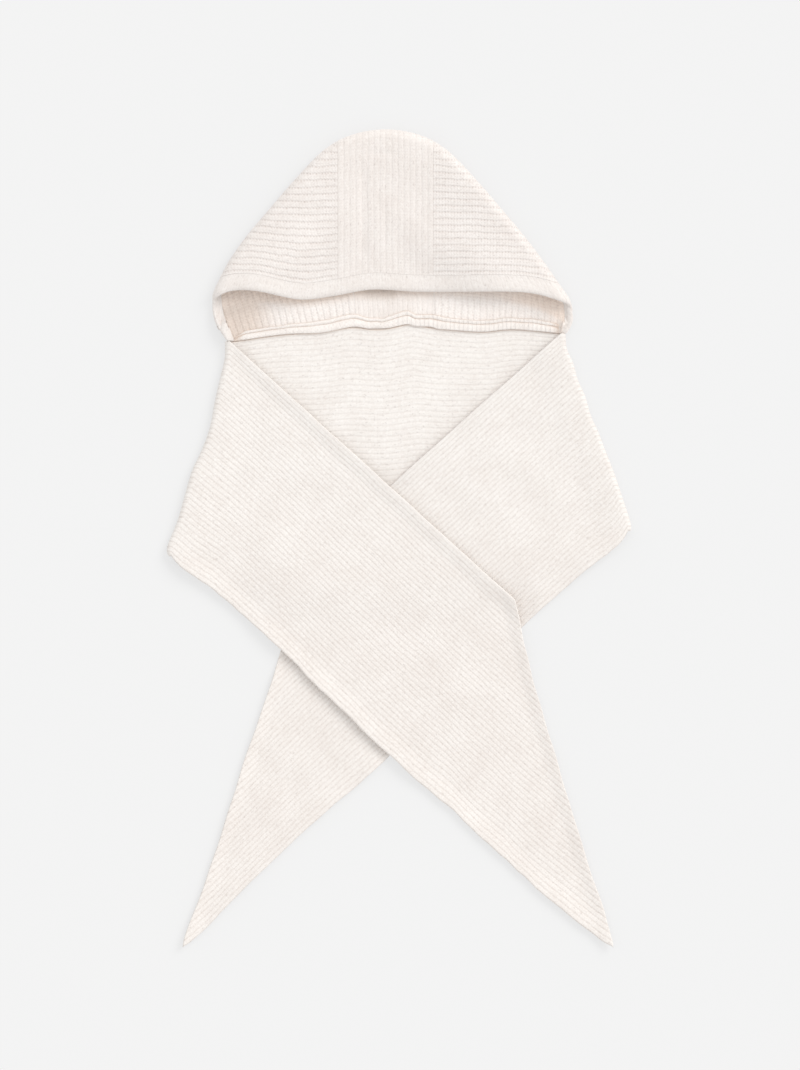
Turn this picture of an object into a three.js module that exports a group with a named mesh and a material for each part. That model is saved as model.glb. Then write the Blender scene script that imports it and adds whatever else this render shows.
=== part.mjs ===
// A knitted snood hood: a ribbed hood sewn to a long scarf, laid flat with the scarf's ends crossed.
// Millimetres. +X is the right of the laid garment, +Y points to the crown, +Z is up from the surface.
// Plan positions start from the middle of the neck line. The last lines move the group so that its
// origin is the middle of the footprint, on the surface that it lies on.
import * as THREE from "three";

// Knitted cloth
const clothThickness = 3.6;
const ribDepth = 0.9;
const layerGap = 0.8; // air between two layers that lie on each other
const sewnGap = 0.6; // between two edges that are sewn together
const selvedge = 9; // plain edge of the scarf that has no ribs

// Neck line, where the hood is sewn to the scarf
const neckHalfWidth = 202;
const neckWave = 18;
const seamWidth = 13;
const seamHeight = 4.2;
const seamEndSize = 0.55; // share of its size that the seam keeps at both ends
const seamEndShare = 0.06; // share of its length over which it tapers

// Hood
const hoodHeight = 250;
const hoodHalfWidth = 215;
const hoodLean = 15; // the crown lies a little to the left
const hoodLeanFrom = -0.16; // shares of hoodHeight between which the lean comes in
const hoodLeanTo = 0.44;
const hoodFoldRadius = 9;
const hoodSag = 4; // the top layer sinks this much away from the folds
const hoodSagReach = 80; // and has done so this far from them
const frontSink = 4; // the middle of the face opening lies lower by this much
const frontSinkFrom = 90; // distances from the folds between which it sinks
const frontSinkTo = 165;
const crownWidth = 115;
const napeWidth = 92;
const crownRibs = 16;
const sideRibs = 20;

// Face opening and the band along it
const openingRise = 54; // neck line to the band's free edge
const openingWave = 12;
const openingPuff = 6; // the band stands this much higher near both corners
const puffReach = 100; // how far the puff goes up from the band
const puffSpan = 130; // and inwards from the folds
const bandWidth = 20;
const bandThickness = 5.2;
const bandFoot = 13; // the band's width where it meets the neck line
const bandBow = 6; // below the side folds it swells outwards by this much
const bandFootOut = { left: 5, right: 0 }; // its outer edge ends this far outside the neck line

// Scarf: one strip, folded at both sides, with slanted ends
const leftEnd = {
  foldLength: 266,
  foldLean: 16.4, // degrees from straight down, outwards
  innerEdge: 461,
  innerAngle: 42.3, // degrees below level
  outerEdge: 713,
  outerAngle: 41.6,
  bow: 4, // the slanted end is hollow by this much
  hemBow: 7, // and the outer edge swells by this much
};
const rightEnd = {
  foldLength: 251,
  foldLean: 19.1,
  innerEdge: 431,
  innerAngle: 41.3,
  outerEdge: 737,
  outerAngle: 42.8,
  bow: 11,
  hemBow: 0,
};
const backSag = 36; // the back's lower edge hangs this much below its corners
const scarfRibs = 18;
const scarfFoldRadius = 4;
const foldSettle = 60; // length over which a fold comes down onto the layer below
const hemBowLate = 1.6; // the swelling is fullest past the middle: power of the place along the edge
const cornerRetreat = 2; // how far rounding takes the two outer corners back
const tipRetreat = 4.5; // and the two tips
const drapeNear = 15; // a layer keeps its full height this far past the one below
const drapeFar = 100; // and is down on the surface this far past it

// Colours of the oatmeal yarn
const knit = { color: 0xf4eee8, roughness: 0.95, metalness: 0 };
const bandKnit = { color: 0xf3ebe5, roughness: 0.95, metalness: 0 };
const seamKnit = { color: 0xf1e7e0, roughness: 0.95, metalness: 0 };

// Half outline of the laid hood: up is a share of hoodHeight, out of hoodHalfWidth.
const hoodOutline = [
  { up: 1.0, out: 0.0 },
  { up: 0.974, out: 0.185 },
  { up: 0.902, out: 0.34 },
  { up: 0.758, out: 0.505 },
  { up: 0.614, out: 0.65 },
  { up: 0.47, out: 0.79 },
  { up: 0.326, out: 0.907 },
  { up: 0.182, out: 0.995 },
  { up: 0.11, out: 1.0 },
  { up: 0.045, out: 0.98 },
];
// Neck line from left to right, straight between its rows: across is a share of the half width that
// the scarf's back keeps between its folds, rise of neckWave.
const neckShape = [
  { across: -1.0, rise: -0.22 },
  { across: -0.83, rise: 0.08 },
  { across: -0.66, rise: 0.3 },
  { across: -0.48, rise: 0.41 },
  { across: -0.29, rise: 0.73 },
  { across: -0.12, rise: 0.6 },
  { across: 0.0, rise: 0.8 },
  { across: 0.07, rise: 0.97 },
  { across: 0.2, rise: 0.72 },
  { across: 0.36, rise: 0.55 },
  { across: 0.52, rise: 0.44 },
  { across: 0.68, rise: 0.6 },
  { across: 0.84, rise: 0.5 },
  { across: 1.0, rise: 0.3 },
];
// Free edge of the band from left to right: across is a share of hoodHalfWidth, lift of openingWave.
const openingShape = [
  { across: -1.05, lift: -0.9 },
  { across: -0.97, lift: -0.1 },
  { across: -0.9, lift: 0.2 },
  { across: -0.78, lift: 0.1 },
  { across: -0.55, lift: -0.68 },
  { across: -0.38, lift: -0.4 },
  { across: -0.15, lift: 0.3 },
  { across: 0.1, lift: 0.1 },
  { across: 0.45, lift: 0.08 },
  { across: 0.68, lift: 0.02 },
  { across: 0.8, lift: -0.3 },
  { across: 0.97, lift: -1.3 },
];
// Ribs of the hood's sides fall by this share of their length as they leave the crown strip.
const ribFall = { left: 0.035, right: 0.07 };

const halfCloth = clothThickness / 2;
const layerStep = clothThickness + layerGap;
const { lerp, clamp, smoothstep, degToRad } = THREE.MathUtils;
const plan = (x, y) => new THREE.Vector2(x, y);
const shares = (count) => Array.from({ length: count + 1 }, (_, i) => i / count);

// The value of a table's column at x, along a smooth curve through its rows.
function readTable(rows, place, column, x) {
  let i = rows.findIndex((row) => row[place] > x);
  if (i < 0) i = rows.length - 1;
  i = Math.max(i, 1);
  const rowAt = (k) => rows[clamp(k, 0, rows.length - 1)];
  const [before, from, to, after] = [rowAt(i - 2), rowAt(i - 1), rowAt(i), rowAt(i + 1)];
  const span = to[place] - from[place];
  const t = clamp((x - from[place]) / span, 0, 1);
  const slope = (a, b) => (b === a ? 0 : ((b[column] - a[column]) / (b[place] - a[place])) * span);
  const startSlope = slope(before, to);
  const endSlope = slope(from, after);
  return (
    from[column] * (2 * t ** 3 - 3 * t ** 2 + 1) +
    startSlope * (t ** 3 - 2 * t ** 2 + t) +
    to[column] * (3 * t ** 2 - 2 * t ** 3) +
    endSlope * (t ** 3 - t ** 2)
  );
}

// Height of the neck line at x. Beyond the scarf's folds it stays level.
const backHalfWidth = neckHalfWidth - halfCloth - scarfFoldRadius;
function neckLine(x) {
  const place = clamp(x / backHalfWidth, -1, 1);
  const i = Math.max(neckShape.findIndex((row) => row.across >= place), 1);
  const [from, to] = [neckShape[i - 1], neckShape[i]];
  return neckWave * lerp(from.rise, to.rise, (place - from.across) / (to.across - from.across));
}
const openingLine = (x) =>
  openingRise + openingWave * readTable(openingShape, "across", "lift", x / hoodHalfWidth);
const leanAt = (y) => -hoodLean * smoothstep(y / hoodHeight, hoodLeanFrom, hoodLeanTo);

// Distance from a plan point to a polygon's edge, positive inside it.
function insideDistance(polygon, point) {
  let nearest = Infinity;
  let inside = false;
  for (let i = 0; i < polygon.length; i++) {
    const a = polygon[i];
    const b = polygon[(i + 1) % polygon.length];
    const [dx, dy] = [b.x - a.x, b.y - a.y];
    const t = clamp(((point.x - a.x) * dx + (point.y - a.y) * dy) / (dx * dx + dy * dy), 0, 1);
    nearest = Math.min(nearest, Math.hypot(point.x - a.x - t * dx, point.y - a.y - t * dy));
    const crosses = a.y > point.y !== b.y > point.y;
    if (crosses && point.x < ((b.x - a.x) * (point.y - a.y)) / (b.y - a.y) + a.x) inside = !inside;
  }
  return inside ? nearest : -nearest;
}

// Plan outline of the middle of the hood's cloth. It runs on below the neck line, so that only the
// sides and the crown count as folds.
const outlinePoints = 220;
function makeHoodOutline() {
  const [halfWidth, height] = [hoodHalfWidth - halfCloth, hoodHeight - halfCloth];
  const half = hoodOutline.map(({ up, out }) => plan(out * halfWidth, up * height));
  half.push(plan(neckHalfWidth - halfCloth, 0), plan(neckHalfWidth - halfCloth, -hoodHalfWidth));
  const leftToRight = [...half.slice(1).map((p) => plan(-p.x, p.y)).reverse(), ...half];
  const curve = new THREE.SplineCurve(leftToRight.map((p) => plan(p.x + leanAt(p.y), p.y)));
  return curve.getSpacedPoints(outlinePoints);
}
const hoodEdge = makeHoodOutline();
const crownLeft = -hoodLean - crownWidth / 2;
const crownRight = -hoodLean + crownWidth / 2;

// A point of the hood's cloth over a plan point. Layer 1 is the top, -1 the one that lies below.
function hoodPoint(point, layer) {
  const depth = Math.max(insideDistance(hoodEdge, point), 0);
  const inFold = Math.max(hoodFoldRadius - depth, 0);
  const halfGap = Math.sqrt(hoodFoldRadius ** 2 - inFold ** 2);
  const fromFold = smoothstep(depth, hoodFoldRadius, hoodSagReach);
  const nearFront = 1 - smoothstep(point.y - openingRise, bandWidth, puffReach);
  const nearCorner = Math.sin(Math.PI * smoothstep(depth, 0, puffSpan));
  const sunk = hoodSag * fromFold + frontSink * nearFront * smoothstep(depth, frontSinkFrom, frontSinkTo);
  const rise = layer > 0 ? openingPuff * nearFront * nearCorner - sunk : 0;
  return new THREE.Vector3(point.x, point.y, halfCloth + hoodFoldRadius + layer * halfGap + rise);
}

// Where a plan path that starts inside the hood's outline meets it, as a length along the path.
const halvings = 40;
function lengthToFold(path, longest) {
  let [near, far] = [0, longest];
  for (let step = 0; step < halvings; step++) {
    const middle = (near + far) / 2;
    if (insideDistance(hoodEdge, path(middle)) > 0) near = middle;
    else far = middle;
  }
  return near;
}

// Shares of the fold's depth at which a path round it is cut, from its edge inwards.
const foldSteps = [0.12, 0.48, 1.0];
const foldProbe = 0.9; // share of a path at which its slant to the fold is measured
const foldMost = 0.6; // largest share of a path that its turn may take
const footTurn = 1.6; // length of the turn below, in fold radii

// Points of a cloth path that runs out to the hood's fold on the top layer and back below it, where
// bow is how far it swells outwards on its way to the foot.
function pathRoundFold(outward, longest, foot, topSteps, footSteps, bow = 0) {
  const length = lengthToFold(outward, longest);
  const turn = outward(length);
  const probeDepth = Math.max(insideDistance(hoodEdge, outward(length * foldProbe)), layerGap / 100);
  const zone = length * Math.min((hoodFoldRadius * (1 - foldProbe)) / probeDepth, foldMost);
  const points = [];
  for (const share of shares(topSteps)) points.push(hoodPoint(outward(share * (length - zone)), 1));
  for (const share of foldSteps.slice(0, -1).reverse()) {
    points.push(hoodPoint(outward(length - share * zone), 1));
  }
  points.push(new THREE.Vector3(turn.x, turn.y, halfCloth + hoodFoldRadius));
  const homeward = foot.clone().sub(turn);
  const homeLength = homeward.length();
  homeward.normalize();
  const homeZone = Math.min(hoodFoldRadius * footTurn, homeLength * foldMost);
  const reaches = foldSteps.map((share) => share * homeZone);
  reaches.push(...shares(footSteps).slice(1).map((share) => lerp(homeZone, homeLength, share)));
  for (const reach of reaches) {
    const point = turn.clone().addScaledVector(homeward, reach);
    point.x += Math.sign(turn.x) * bow * Math.sin((Math.PI * reach) / homeLength);
    points.push(hoodPoint(point, -1));
  }
  return points;
}

// Skins a grid of middle points, rows by columns, into one closed wall. outer(i, j) and inner(i, j)
// are the distances from the middle to each face. innerColumns picks the columns of the inner face.
function wall(grid, outer, inner, innerColumns) {
  const [rows, columns] = [grid.length, grid[0].length];
  const normal = (i, j) => {
    const along = grid[Math.min(i + 1, rows - 1)][j].clone().sub(grid[Math.max(i - 1, 0)][j]);
    const across = grid[i][Math.min(j + 1, columns - 1)].clone().sub(grid[i][Math.max(j - 1, 0)]);
    return along.cross(across).normalize();
  };
  const points = [];
  const add = (i, j, distance) => {
    points.push(grid[i][j].clone().addScaledVector(normal(i, j), distance));
    return points.length - 1;
  };
  const outerIds = grid.map((row, i) => row.map((_, j) => add(i, j, outer(i, j))));
  const innerIds = grid.map((_, i) => innerColumns.map((j) => add(i, j, -inner(i, j))));
  const faces = [];
  const quad = (a, b, c, d) => faces.push([a, b, c], [a, c, d]);
  for (let i = 0; i + 1 < rows; i++) {
    for (let j = 0; j + 1 < columns; j++) {
      quad(outerIds[i][j], outerIds[i + 1][j], outerIds[i + 1][j + 1], outerIds[i][j + 1]);
    }
    for (let k = 0; k + 1 < innerColumns.length; k++) {
      quad(innerIds[i][k], innerIds[i][k + 1], innerIds[i + 1][k + 1], innerIds[i + 1][k]);
    }
    const last = innerColumns.length - 1;
    quad(outerIds[i][0], innerIds[i][0], innerIds[i + 1][0], outerIds[i + 1][0]);
    quad(outerIds[i][columns - 1], outerIds[i + 1][columns - 1], innerIds[i + 1][last], innerIds[i][last]);
  }
  const cap = (i, turned) => {
    const face = (a, b, c) => faces.push(turned ? [a, c, b] : [a, b, c]);
    for (let k = 0; k + 1 < innerColumns.length; k++) {
      const [from, to] = [innerColumns[k], innerColumns[k + 1]];
      for (let j = from; j < to; j++) face(outerIds[i][j], outerIds[i][j + 1], innerIds[i][k]);
      face(outerIds[i][to], innerIds[i][k + 1], innerIds[i][k]);
    }
  };
  cap(0, false);
  cap(rows - 1, true);
  const geometry = new THREE.BufferGeometry();
  geometry.setAttribute("position", new THREE.Float32BufferAttribute(points.flatMap((p) => p.toArray()), 3));
  geometry.setIndex(faces.flat());
  geometry.computeVertexNormals();
  return geometry;
}

function makeMesh(name, geometry, finish) {
  const mesh = new THREE.Mesh(geometry, new THREE.MeshStandardMaterial(finish));
  mesh.name = name;
  return mesh;
}

const everyNth = (count, step) => shares(Math.round(count / step)).map((share) => Math.round(share * count));

// The crown strip runs from the band over the crown's fold and down the back to the neck line.
// Its ribs run along it: odd columns are ridges and even ones valleys.
const crownTopSteps = 6;
const crownNapeSteps = 6;
function makeCrownStrip() {
  const columns = shares(2 * crownRibs).map((share) => {
    const x = lerp(crownLeft + sewnGap / 2, crownRight - sewnGap / 2, share);
    const start = openingLine(x) + bandWidth + sewnGap;
    const footX = lerp(-napeWidth / 2, napeWidth / 2, share) + leanAt(0);
    const foot = plan(footX, neckLine(footX) + sewnGap);
    const outward = (length) => plan(x, start + length);
    return pathRoundFold(outward, hoodHeight, foot, crownTopSteps, crownNapeSteps);
  });
  const grid = columns[0].map((_, i) => columns.map((column) => column[i]));
  const lastRibbedRow = crownTopSteps + foldSteps.length;
  const outer = (i, j) => halfCloth - (j % 2 === 0 && i < lastRibbedRow ? ribDepth : 0);
  return wall(grid, outer, () => halfCloth, everyNth(2 * crownRibs, 4));
}

// Where the sides meet the crown strip.
const sideStart = (side) => (side < 0 ? crownLeft - sewnGap / 2 : crownRight + sewnGap / 2);

// A plan path on the top layer from the crown strip out to the side fold. up is 0 at the band and 1
// at the crown.
function sidePath(side, up) {
  const startX = sideStart(side);
  const fall = side < 0 ? ribFall.left : ribFall.right;
  const crownY = lengthToFold((length) => plan(startX, openingRise + length), hoodHeight) + openingRise;
  const highest = crownY - hoodFoldRadius / 12;
  const lowest = openingLine(startX) + bandWidth + sewnGap;
  return (length) => {
    const x = startX + side * length;
    const wave = openingLine(x) - openingLine(startX);
    return plan(x, lerp(lowest, highest, up) + wave * (1 - up) ** 2 - fall * length * up);
  };
}

// Where a path of the hood's side ends on the neck line.
const bandInnerReach = neckHalfWidth - halfCloth - bandFoot;
function sideFoot(side, up) {
  const nape = napeWidth / 2 + sewnGap + side * leanAt(0);
  const reach = lerp(bandInnerReach - 3 * sewnGap, nape, up);
  return plan(side * reach, neckLine(side * reach) + sewnGap);
}

// The same two for the band. across is 0 at its free edge and 1 at its sewn one.
function bandPath(side, across) {
  return (length) => {
    const x = sideStart(side) + side * length;
    return plan(x, openingLine(x) + across * bandWidth);
  };
}
function bandEnd(side, across) {
  const out = side < 0 ? bandFootOut.left : bandFootOut.right;
  const reach = lerp(neckHalfWidth - halfCloth + out, bandInnerReach, across);
  return plan(side * reach, neckLine(side * reach) + 3 * sewnGap);
}

// A side panel: its ribs leave the crown strip, turn over the side fold and run down to the neck line.
const sideTopSteps = 7;
const sideFootSteps = 4;
function makeSidePanel(side) {
  const columns = shares(2 * sideRibs).map((up) => {
    const [outward, foot] = [sidePath(side, up), sideFoot(side, up)];
    const bow = bandBow * (1 - up) ** 4;
    return pathRoundFold(outward, 2 * hoodHalfWidth, foot, sideTopSteps, sideFootSteps, bow);
  });
  if (side > 0) columns.reverse();
  const grid = columns[0].map((_, i) => columns.map((column) => column[i]));
  const lastRibbedRow = sideTopSteps + foldSteps.length;
  const outer = (i, j) => halfCloth - (j % 2 === 0 && i < lastRibbedRow ? ribDepth : 0);
  return wall(grid, outer, () => halfCloth, everyNth(2 * sideRibs, 5));
}

// The band runs from one neck corner round the fold, over the face opening and round to the other.
const bandColumns = [
  { across: 0.0, fullness: 0.35 },
  { across: 0.1, fullness: 0.85 },
  { across: 0.35, fullness: 1.0 },
  { across: 0.7, fullness: 1.0 },
  { across: 1.0, fullness: 0.8 },
];
function makeFrontBand() {
  const rows = (side) => {
    const paths = bandColumns.map(({ across }) => {
      const [outward, foot] = [bandPath(side, across), bandEnd(side, across)];
      return pathRoundFold(outward, 2 * hoodHalfWidth, foot, sideTopSteps, sideFootSteps, bandBow);
    });
    return paths[0].map((_, i) => paths.map((path) => path[i]));
  };
  const middle = shares(7).slice(1, -1).map((share) => {
    const x = lerp(crownLeft, crownRight, share);
    return bandColumns.map(({ across }) => hoodPoint(plan(x, openingLine(x) + across * bandWidth), 1));
  });
  const grid = [...rows(-1).reverse(), ...middle, ...rows(1)];
  const outer = (i, j) => halfCloth * bandColumns[j].fullness;
  const inner = (i, j) => (bandThickness - halfCloth) * bandColumns[j].fullness;
  return wall(grid, outer, inner, [0, 1, 2, 3, 4]);
}

// The sewn edges of hood and scarf stand up inside the neck as a double ridge.
const seamSection = [
  { back: -0.04, up: 0.0 },
  { back: -0.06, up: 0.5 },
  { back: 0.12, up: 0.96 },
  { back: 0.42, up: 0.94 },
  { back: 0.62, up: 0.55 },
  { back: 0.74, up: 0.9 },
  { back: 0.9, up: 0.74 },
  { back: 1.0, up: 0.3 },
  { back: 0.98, up: 0.0 },
];
function makeNeckSeam() {
  const reach = neckHalfWidth - halfCloth - bandFoot - 2 * sewnGap;
  const base = clothThickness + sewnGap;
  const rings = shares(36).map((share) => {
    const x = lerp(-reach, reach, share);
    const taper = lerp(seamEndSize, 1, smoothstep(Math.min(share, 1 - share), 0, seamEndShare));
    return seamSection.map(({ back, up }) => {
      const y = neckLine(x) + back * seamWidth * taper;
      return new THREE.Vector3(x, y, base + up * seamHeight * taper);
    });
  });
  return loft(rings);
}

// Skins closed rings of one point count into a solid, with flat fans at both ends.
function loft(rings) {
  const count = rings[0].length;
  const faces = [];
  for (let i = 0; i + 1 < rings.length; i++) {
    for (let j = 0; j < count; j++) {
      const k = (j + 1) % count;
      const [a, b, c, d] = [i * count + j, i * count + k, (i + 1) * count + k, (i + 1) * count + j];
      faces.push([a, c, b], [a, d, c]);
    }
  }
  const outline = rings[0].map((p) => plan(p.y, p.z));
  const last = (rings.length - 1) * count;
  for (const [a, b, c] of THREE.ShapeUtils.triangulateShape(outline, [])) {
    faces.push([a, c, b], [last + a, last + b, last + c]);
  }
  const geometry = new THREE.BufferGeometry();
  const points = rings.flat().flatMap((p) => p.toArray());
  geometry.setAttribute("position", new THREE.Float32BufferAttribute(points, 3));
  geometry.setIndex(faces.flat());
  geometry.computeVertexNormals();
  return geometry;
}

// Plan corners of one end of the scarf. side is -1 for the left.
const heading = (degrees) => plan(Math.cos(degToRad(degrees)), -Math.sin(degToRad(degrees)));
function endCorners(side, end) {
  const neck = plan(side * (neckHalfWidth - halfCloth), neckLine(side * backHalfWidth) - sewnGap);
  const mirrored = (degrees) => heading(degrees).multiply(plan(side, 1));
  const hem = neck.clone().addScaledVector(mirrored(90 - end.foldLean), end.foldLength);
  const cut = neck.clone().addScaledVector(mirrored(180 - end.innerAngle), end.innerEdge);
  const tip = hem.clone().addScaledVector(mirrored(180 - end.outerAngle), end.outerEdge);
  const toHem = neck.clone().sub(hem).normalize();
  const toTip = hem.clone().sub(tip).normalize();
  const toCut = cut.clone().sub(tip).normalize();
  const roundings = [
    { corner: hem, inwards: toHem.clone().sub(toTip).normalize(), retreat: cornerRetreat },
    { corner: tip, inwards: toTip.clone().add(toCut).normalize(), retreat: tipRetreat },
  ];
  return { neck, hem, cut, tip, bow: end.bow, hemBow: end.hemBow, roundings };
}

// Moves a plan point of the scarf inwards where it lies near a rounded corner.
function rounded(point, roundings) {
  for (const { corner, inwards, retreat } of roundings) {
    const within = Math.max(point.clone().sub(corner).dot(inwards), 0);
    point.addScaledVector(inwards, Math.hypot(within, retreat) - within);
  }
  return point;
}

// A plan point where one of the scarf's folds ends and the flat cloth starts.
function foldPlan({ neck, hem }, across) {
  const point = neck.clone().lerp(hem, across);
  point.x -= Math.sign(neck.x) * scarfFoldRadius;
  return point;
}
const leftCorners = endCorners(-1, leftEnd);
const rightCorners = endCorners(1, rightEnd);

// The scarf's back: along runs from the left fold to the right one, across from the neck to the hem.
function backPlan(along, across) {
  const atLeft = foldPlan(leftCorners, across);
  const atRight = foldPlan(rightCorners, across);
  const neckX = lerp(foldPlan(leftCorners, 0).x, foldPlan(rightCorners, 0).x, along);
  const neckY = neckLine(neckX) - sewnGap;
  const hemY = lerp(leftCorners.hem.y, rightCorners.hem.y, along) - backSag * 4 * along * (1 - along);
  const point = plan(lerp(atLeft.x, atRight.x, along), lerp(neckY, hemY, across));
  return rounded(point, [leftCorners.roundings[0], rightCorners.roundings[0]]);
}
const backRegion = [
  leftCorners.neck,
  ...shares(6).map((share) => backPlan(share, 1)),
  rightCorners.neck,
];
const rightRegion = [rightCorners.neck, rightCorners.hem, rightCorners.tip, rightCorners.cut];

// How far a layer at this plan point is lifted by one below it: 1 on it and 0 well past its edge.
const lift = (region, point) => 1 - smoothstep(-insideDistance(region, point), drapeNear, drapeFar);

// A point of the scarf's end: along is 0 at the fold and 1 at the slanted end.
function endPoint(corners, along, across, lifters) {
  const start = foldPlan(corners, across);
  const end = corners.cut.clone().lerp(corners.tip, across);
  const homeward = corners.hem.clone().sub(corners.tip).normalize();
  end.addScaledVector(homeward, corners.bow * 4 * across * (1 - across));
  const swell = corners.hemBow * across ** 2 * Math.sin(Math.PI * along ** hemBowLate);
  const aside = plan(homeward.y, -homeward.x).multiplyScalar(Math.sign(corners.neck.x));
  const point = start.clone().lerp(end, along).addScaledVector(aside, swell);
  rounded(point, corners.roundings);
  const settled = smoothstep(start.distanceTo(point), 0, foldSettle);
  const layers = lifters.reduce((sum, region) => sum + lift(region, point), 0);
  const height = lerp(2 * scarfFoldRadius, layers * layerStep, settled);
  return new THREE.Vector3(point.x, point.y, halfCloth + height);
}

// A point of one of the scarf's two folds: turn is 0 on the back and 1 on the end above it.
function foldPoint(corners, turn, across) {
  const start = rounded(foldPlan(corners, across), corners.roundings);
  const angle = Math.PI * (turn - 0.5);
  const x = start.x + Math.sign(corners.neck.x) * scarfFoldRadius * Math.cos(angle);
  return new THREE.Vector3(x, start.y, halfCloth + scarfFoldRadius * (1 + Math.sin(angle)));
}

function backPoint(along, across) {
  const { x, y } = backPlan(along, across);
  return new THREE.Vector3(x, y, halfCloth);
}

// The scarf, from the left end's cut over both folds to the right end's cut.
const endSteps = 14;
const scarfFoldTurns = [0.15, 0.35, 0.6, 0.8];
function makeScarf() {
  const scarfWidth = leftCorners.neck.distanceTo(leftCorners.hem);
  const plain = selvedge / scarfWidth;
  const across = [0, ...shares(2 * scarfRibs).map((share) => lerp(plain, 1, share))];
  const row = (point) => across.map(point);
  const ends = shares(endSteps);
  const grid = [
    ...[...ends].reverse().map((s) => row((u) => endPoint(leftCorners, s, u, [backRegion, rightRegion]))),
    ...[...scarfFoldTurns].reverse().map((t) => row((u) => foldPoint(leftCorners, t, u))),
    ...neckShape.map(({ across: s }) => row((u) => backPoint((s + 1) / 2, u))),
    ...scarfFoldTurns.map((t) => row((u) => foldPoint(rightCorners, t, u))),
    ...ends.map((s) => row((u) => endPoint(rightCorners, s, u, [backRegion]))),
  ];
  const leftRows = endSteps + 1;
  const ribbed = (i) => i <= leftRows || i >= grid.length - 1 - leftRows;
  const outer = (i, j) => halfCloth - (ribbed(i) && j % 2 === 1 && j > 1 ? ribDepth : 0);
  return wall(grid, outer, () => halfCloth, [0, ...everyNth(2 * scarfRibs, 6).map((j) => j + 1)]);
}

const hood = new THREE.Group();
hood.add(makeMesh("crown_strip", makeCrownStrip(), knit));
hood.add(makeMesh("side_panel_left", makeSidePanel(-1), knit));
hood.add(makeMesh("side_panel_right", makeSidePanel(1), knit));
hood.add(makeMesh("front_band", makeFrontBand(), bandKnit));
hood.add(makeMesh("neck_seam", makeNeckSeam(), seamKnit));

const snoodHood = new THREE.Group();
snoodHood.add(hood);
snoodHood.add(makeMesh("scarf", makeScarf(), knit));

const footprint = new THREE.Box3().setFromObject(snoodHood);
const middle = footprint.getCenter(new THREE.Vector3());
snoodHood.position.set(-middle.x, -middle.y, -footprint.min.z);

export default snoodHood;
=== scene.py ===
import math

import bpy
import numpy as np
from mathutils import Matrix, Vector


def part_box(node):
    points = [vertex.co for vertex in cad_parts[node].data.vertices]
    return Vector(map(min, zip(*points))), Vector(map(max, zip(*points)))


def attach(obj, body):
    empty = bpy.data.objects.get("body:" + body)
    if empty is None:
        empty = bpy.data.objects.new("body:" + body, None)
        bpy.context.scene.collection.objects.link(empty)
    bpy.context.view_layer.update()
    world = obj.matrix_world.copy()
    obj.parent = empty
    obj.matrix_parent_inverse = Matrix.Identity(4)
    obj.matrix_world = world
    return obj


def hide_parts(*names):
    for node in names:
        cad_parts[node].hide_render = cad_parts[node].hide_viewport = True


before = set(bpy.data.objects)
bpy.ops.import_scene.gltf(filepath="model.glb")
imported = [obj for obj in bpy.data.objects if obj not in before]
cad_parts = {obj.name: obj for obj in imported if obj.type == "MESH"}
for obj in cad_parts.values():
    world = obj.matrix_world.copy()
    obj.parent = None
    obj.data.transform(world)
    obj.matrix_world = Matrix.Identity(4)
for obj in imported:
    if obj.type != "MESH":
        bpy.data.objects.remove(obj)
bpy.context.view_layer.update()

bl_info = {
    "name": "Snood hood",
    "version": (1, 0, 0),
    "blender": (4, 5, 0),
    "location": "3D View > Sidebar > Snood hood",
    "description": "Knitted cloth, materials and studio for a laid snood hood",
    "category": "Object",
}

# Height of the hood in the frame, from the neck line to the crown. It places the neck line.
CROWN_ABOVE_NECK = 0.25
# The scarf's back ends this far inside the neck line's ends.
BACK_INSET = 0.004

# Half outline of the laid hood: share of the height, share of the half width.
HOOD_OUTLINE = [
    (1.0, 0.0), (0.974, 0.185), (0.902, 0.34), (0.758, 0.505), (0.614, 0.65), (0.47, 0.79),
    (0.326, 0.907), (0.182, 0.995), (0.11, 1.0), (0.045, 0.98),
]
# Neck line from left to right: share of its half width, share of its wave.
NECK_SHAPE = [
    (-1.0, -0.22), (-0.83, 0.08), (-0.66, 0.3), (-0.48, 0.41), (-0.29, 0.73), (-0.12, 0.6),
    (0.0, 0.8), (0.07, 0.97), (0.2, 0.72), (0.36, 0.55), (0.52, 0.44), (0.68, 0.6), (0.84, 0.5),
    (1.0, 0.3),
]
# Free edge of the band from left to right: share of the half width, share of its wave.
OPENING_SHAPE = [
    (-1.05, -0.9), (-0.97, -0.1), (-0.9, 0.2), (-0.78, 0.1), (-0.55, -0.68), (-0.38, -0.4),
    (-0.15, 0.3), (0.1, 0.1), (0.45, 0.08), (0.68, 0.02), (0.8, -0.3), (0.97, -1.3),
]
# Outline of the neck seam across its length: share of its width, share of its height.
SEAM_SECTION = [
    (0.0, 0.0), (-0.05, 0.3), (-0.02, 0.7), (0.1, 0.95), (0.28, 1.0), (0.46, 0.92),
    (0.58, 0.62), (0.62, 0.42), (0.67, 0.62), (0.76, 0.84), (0.88, 0.8), (0.98, 0.45),
    (1.0, 0.0), (0.8, -0.1), (0.5, -0.12), (0.2, -0.1),
]
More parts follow.
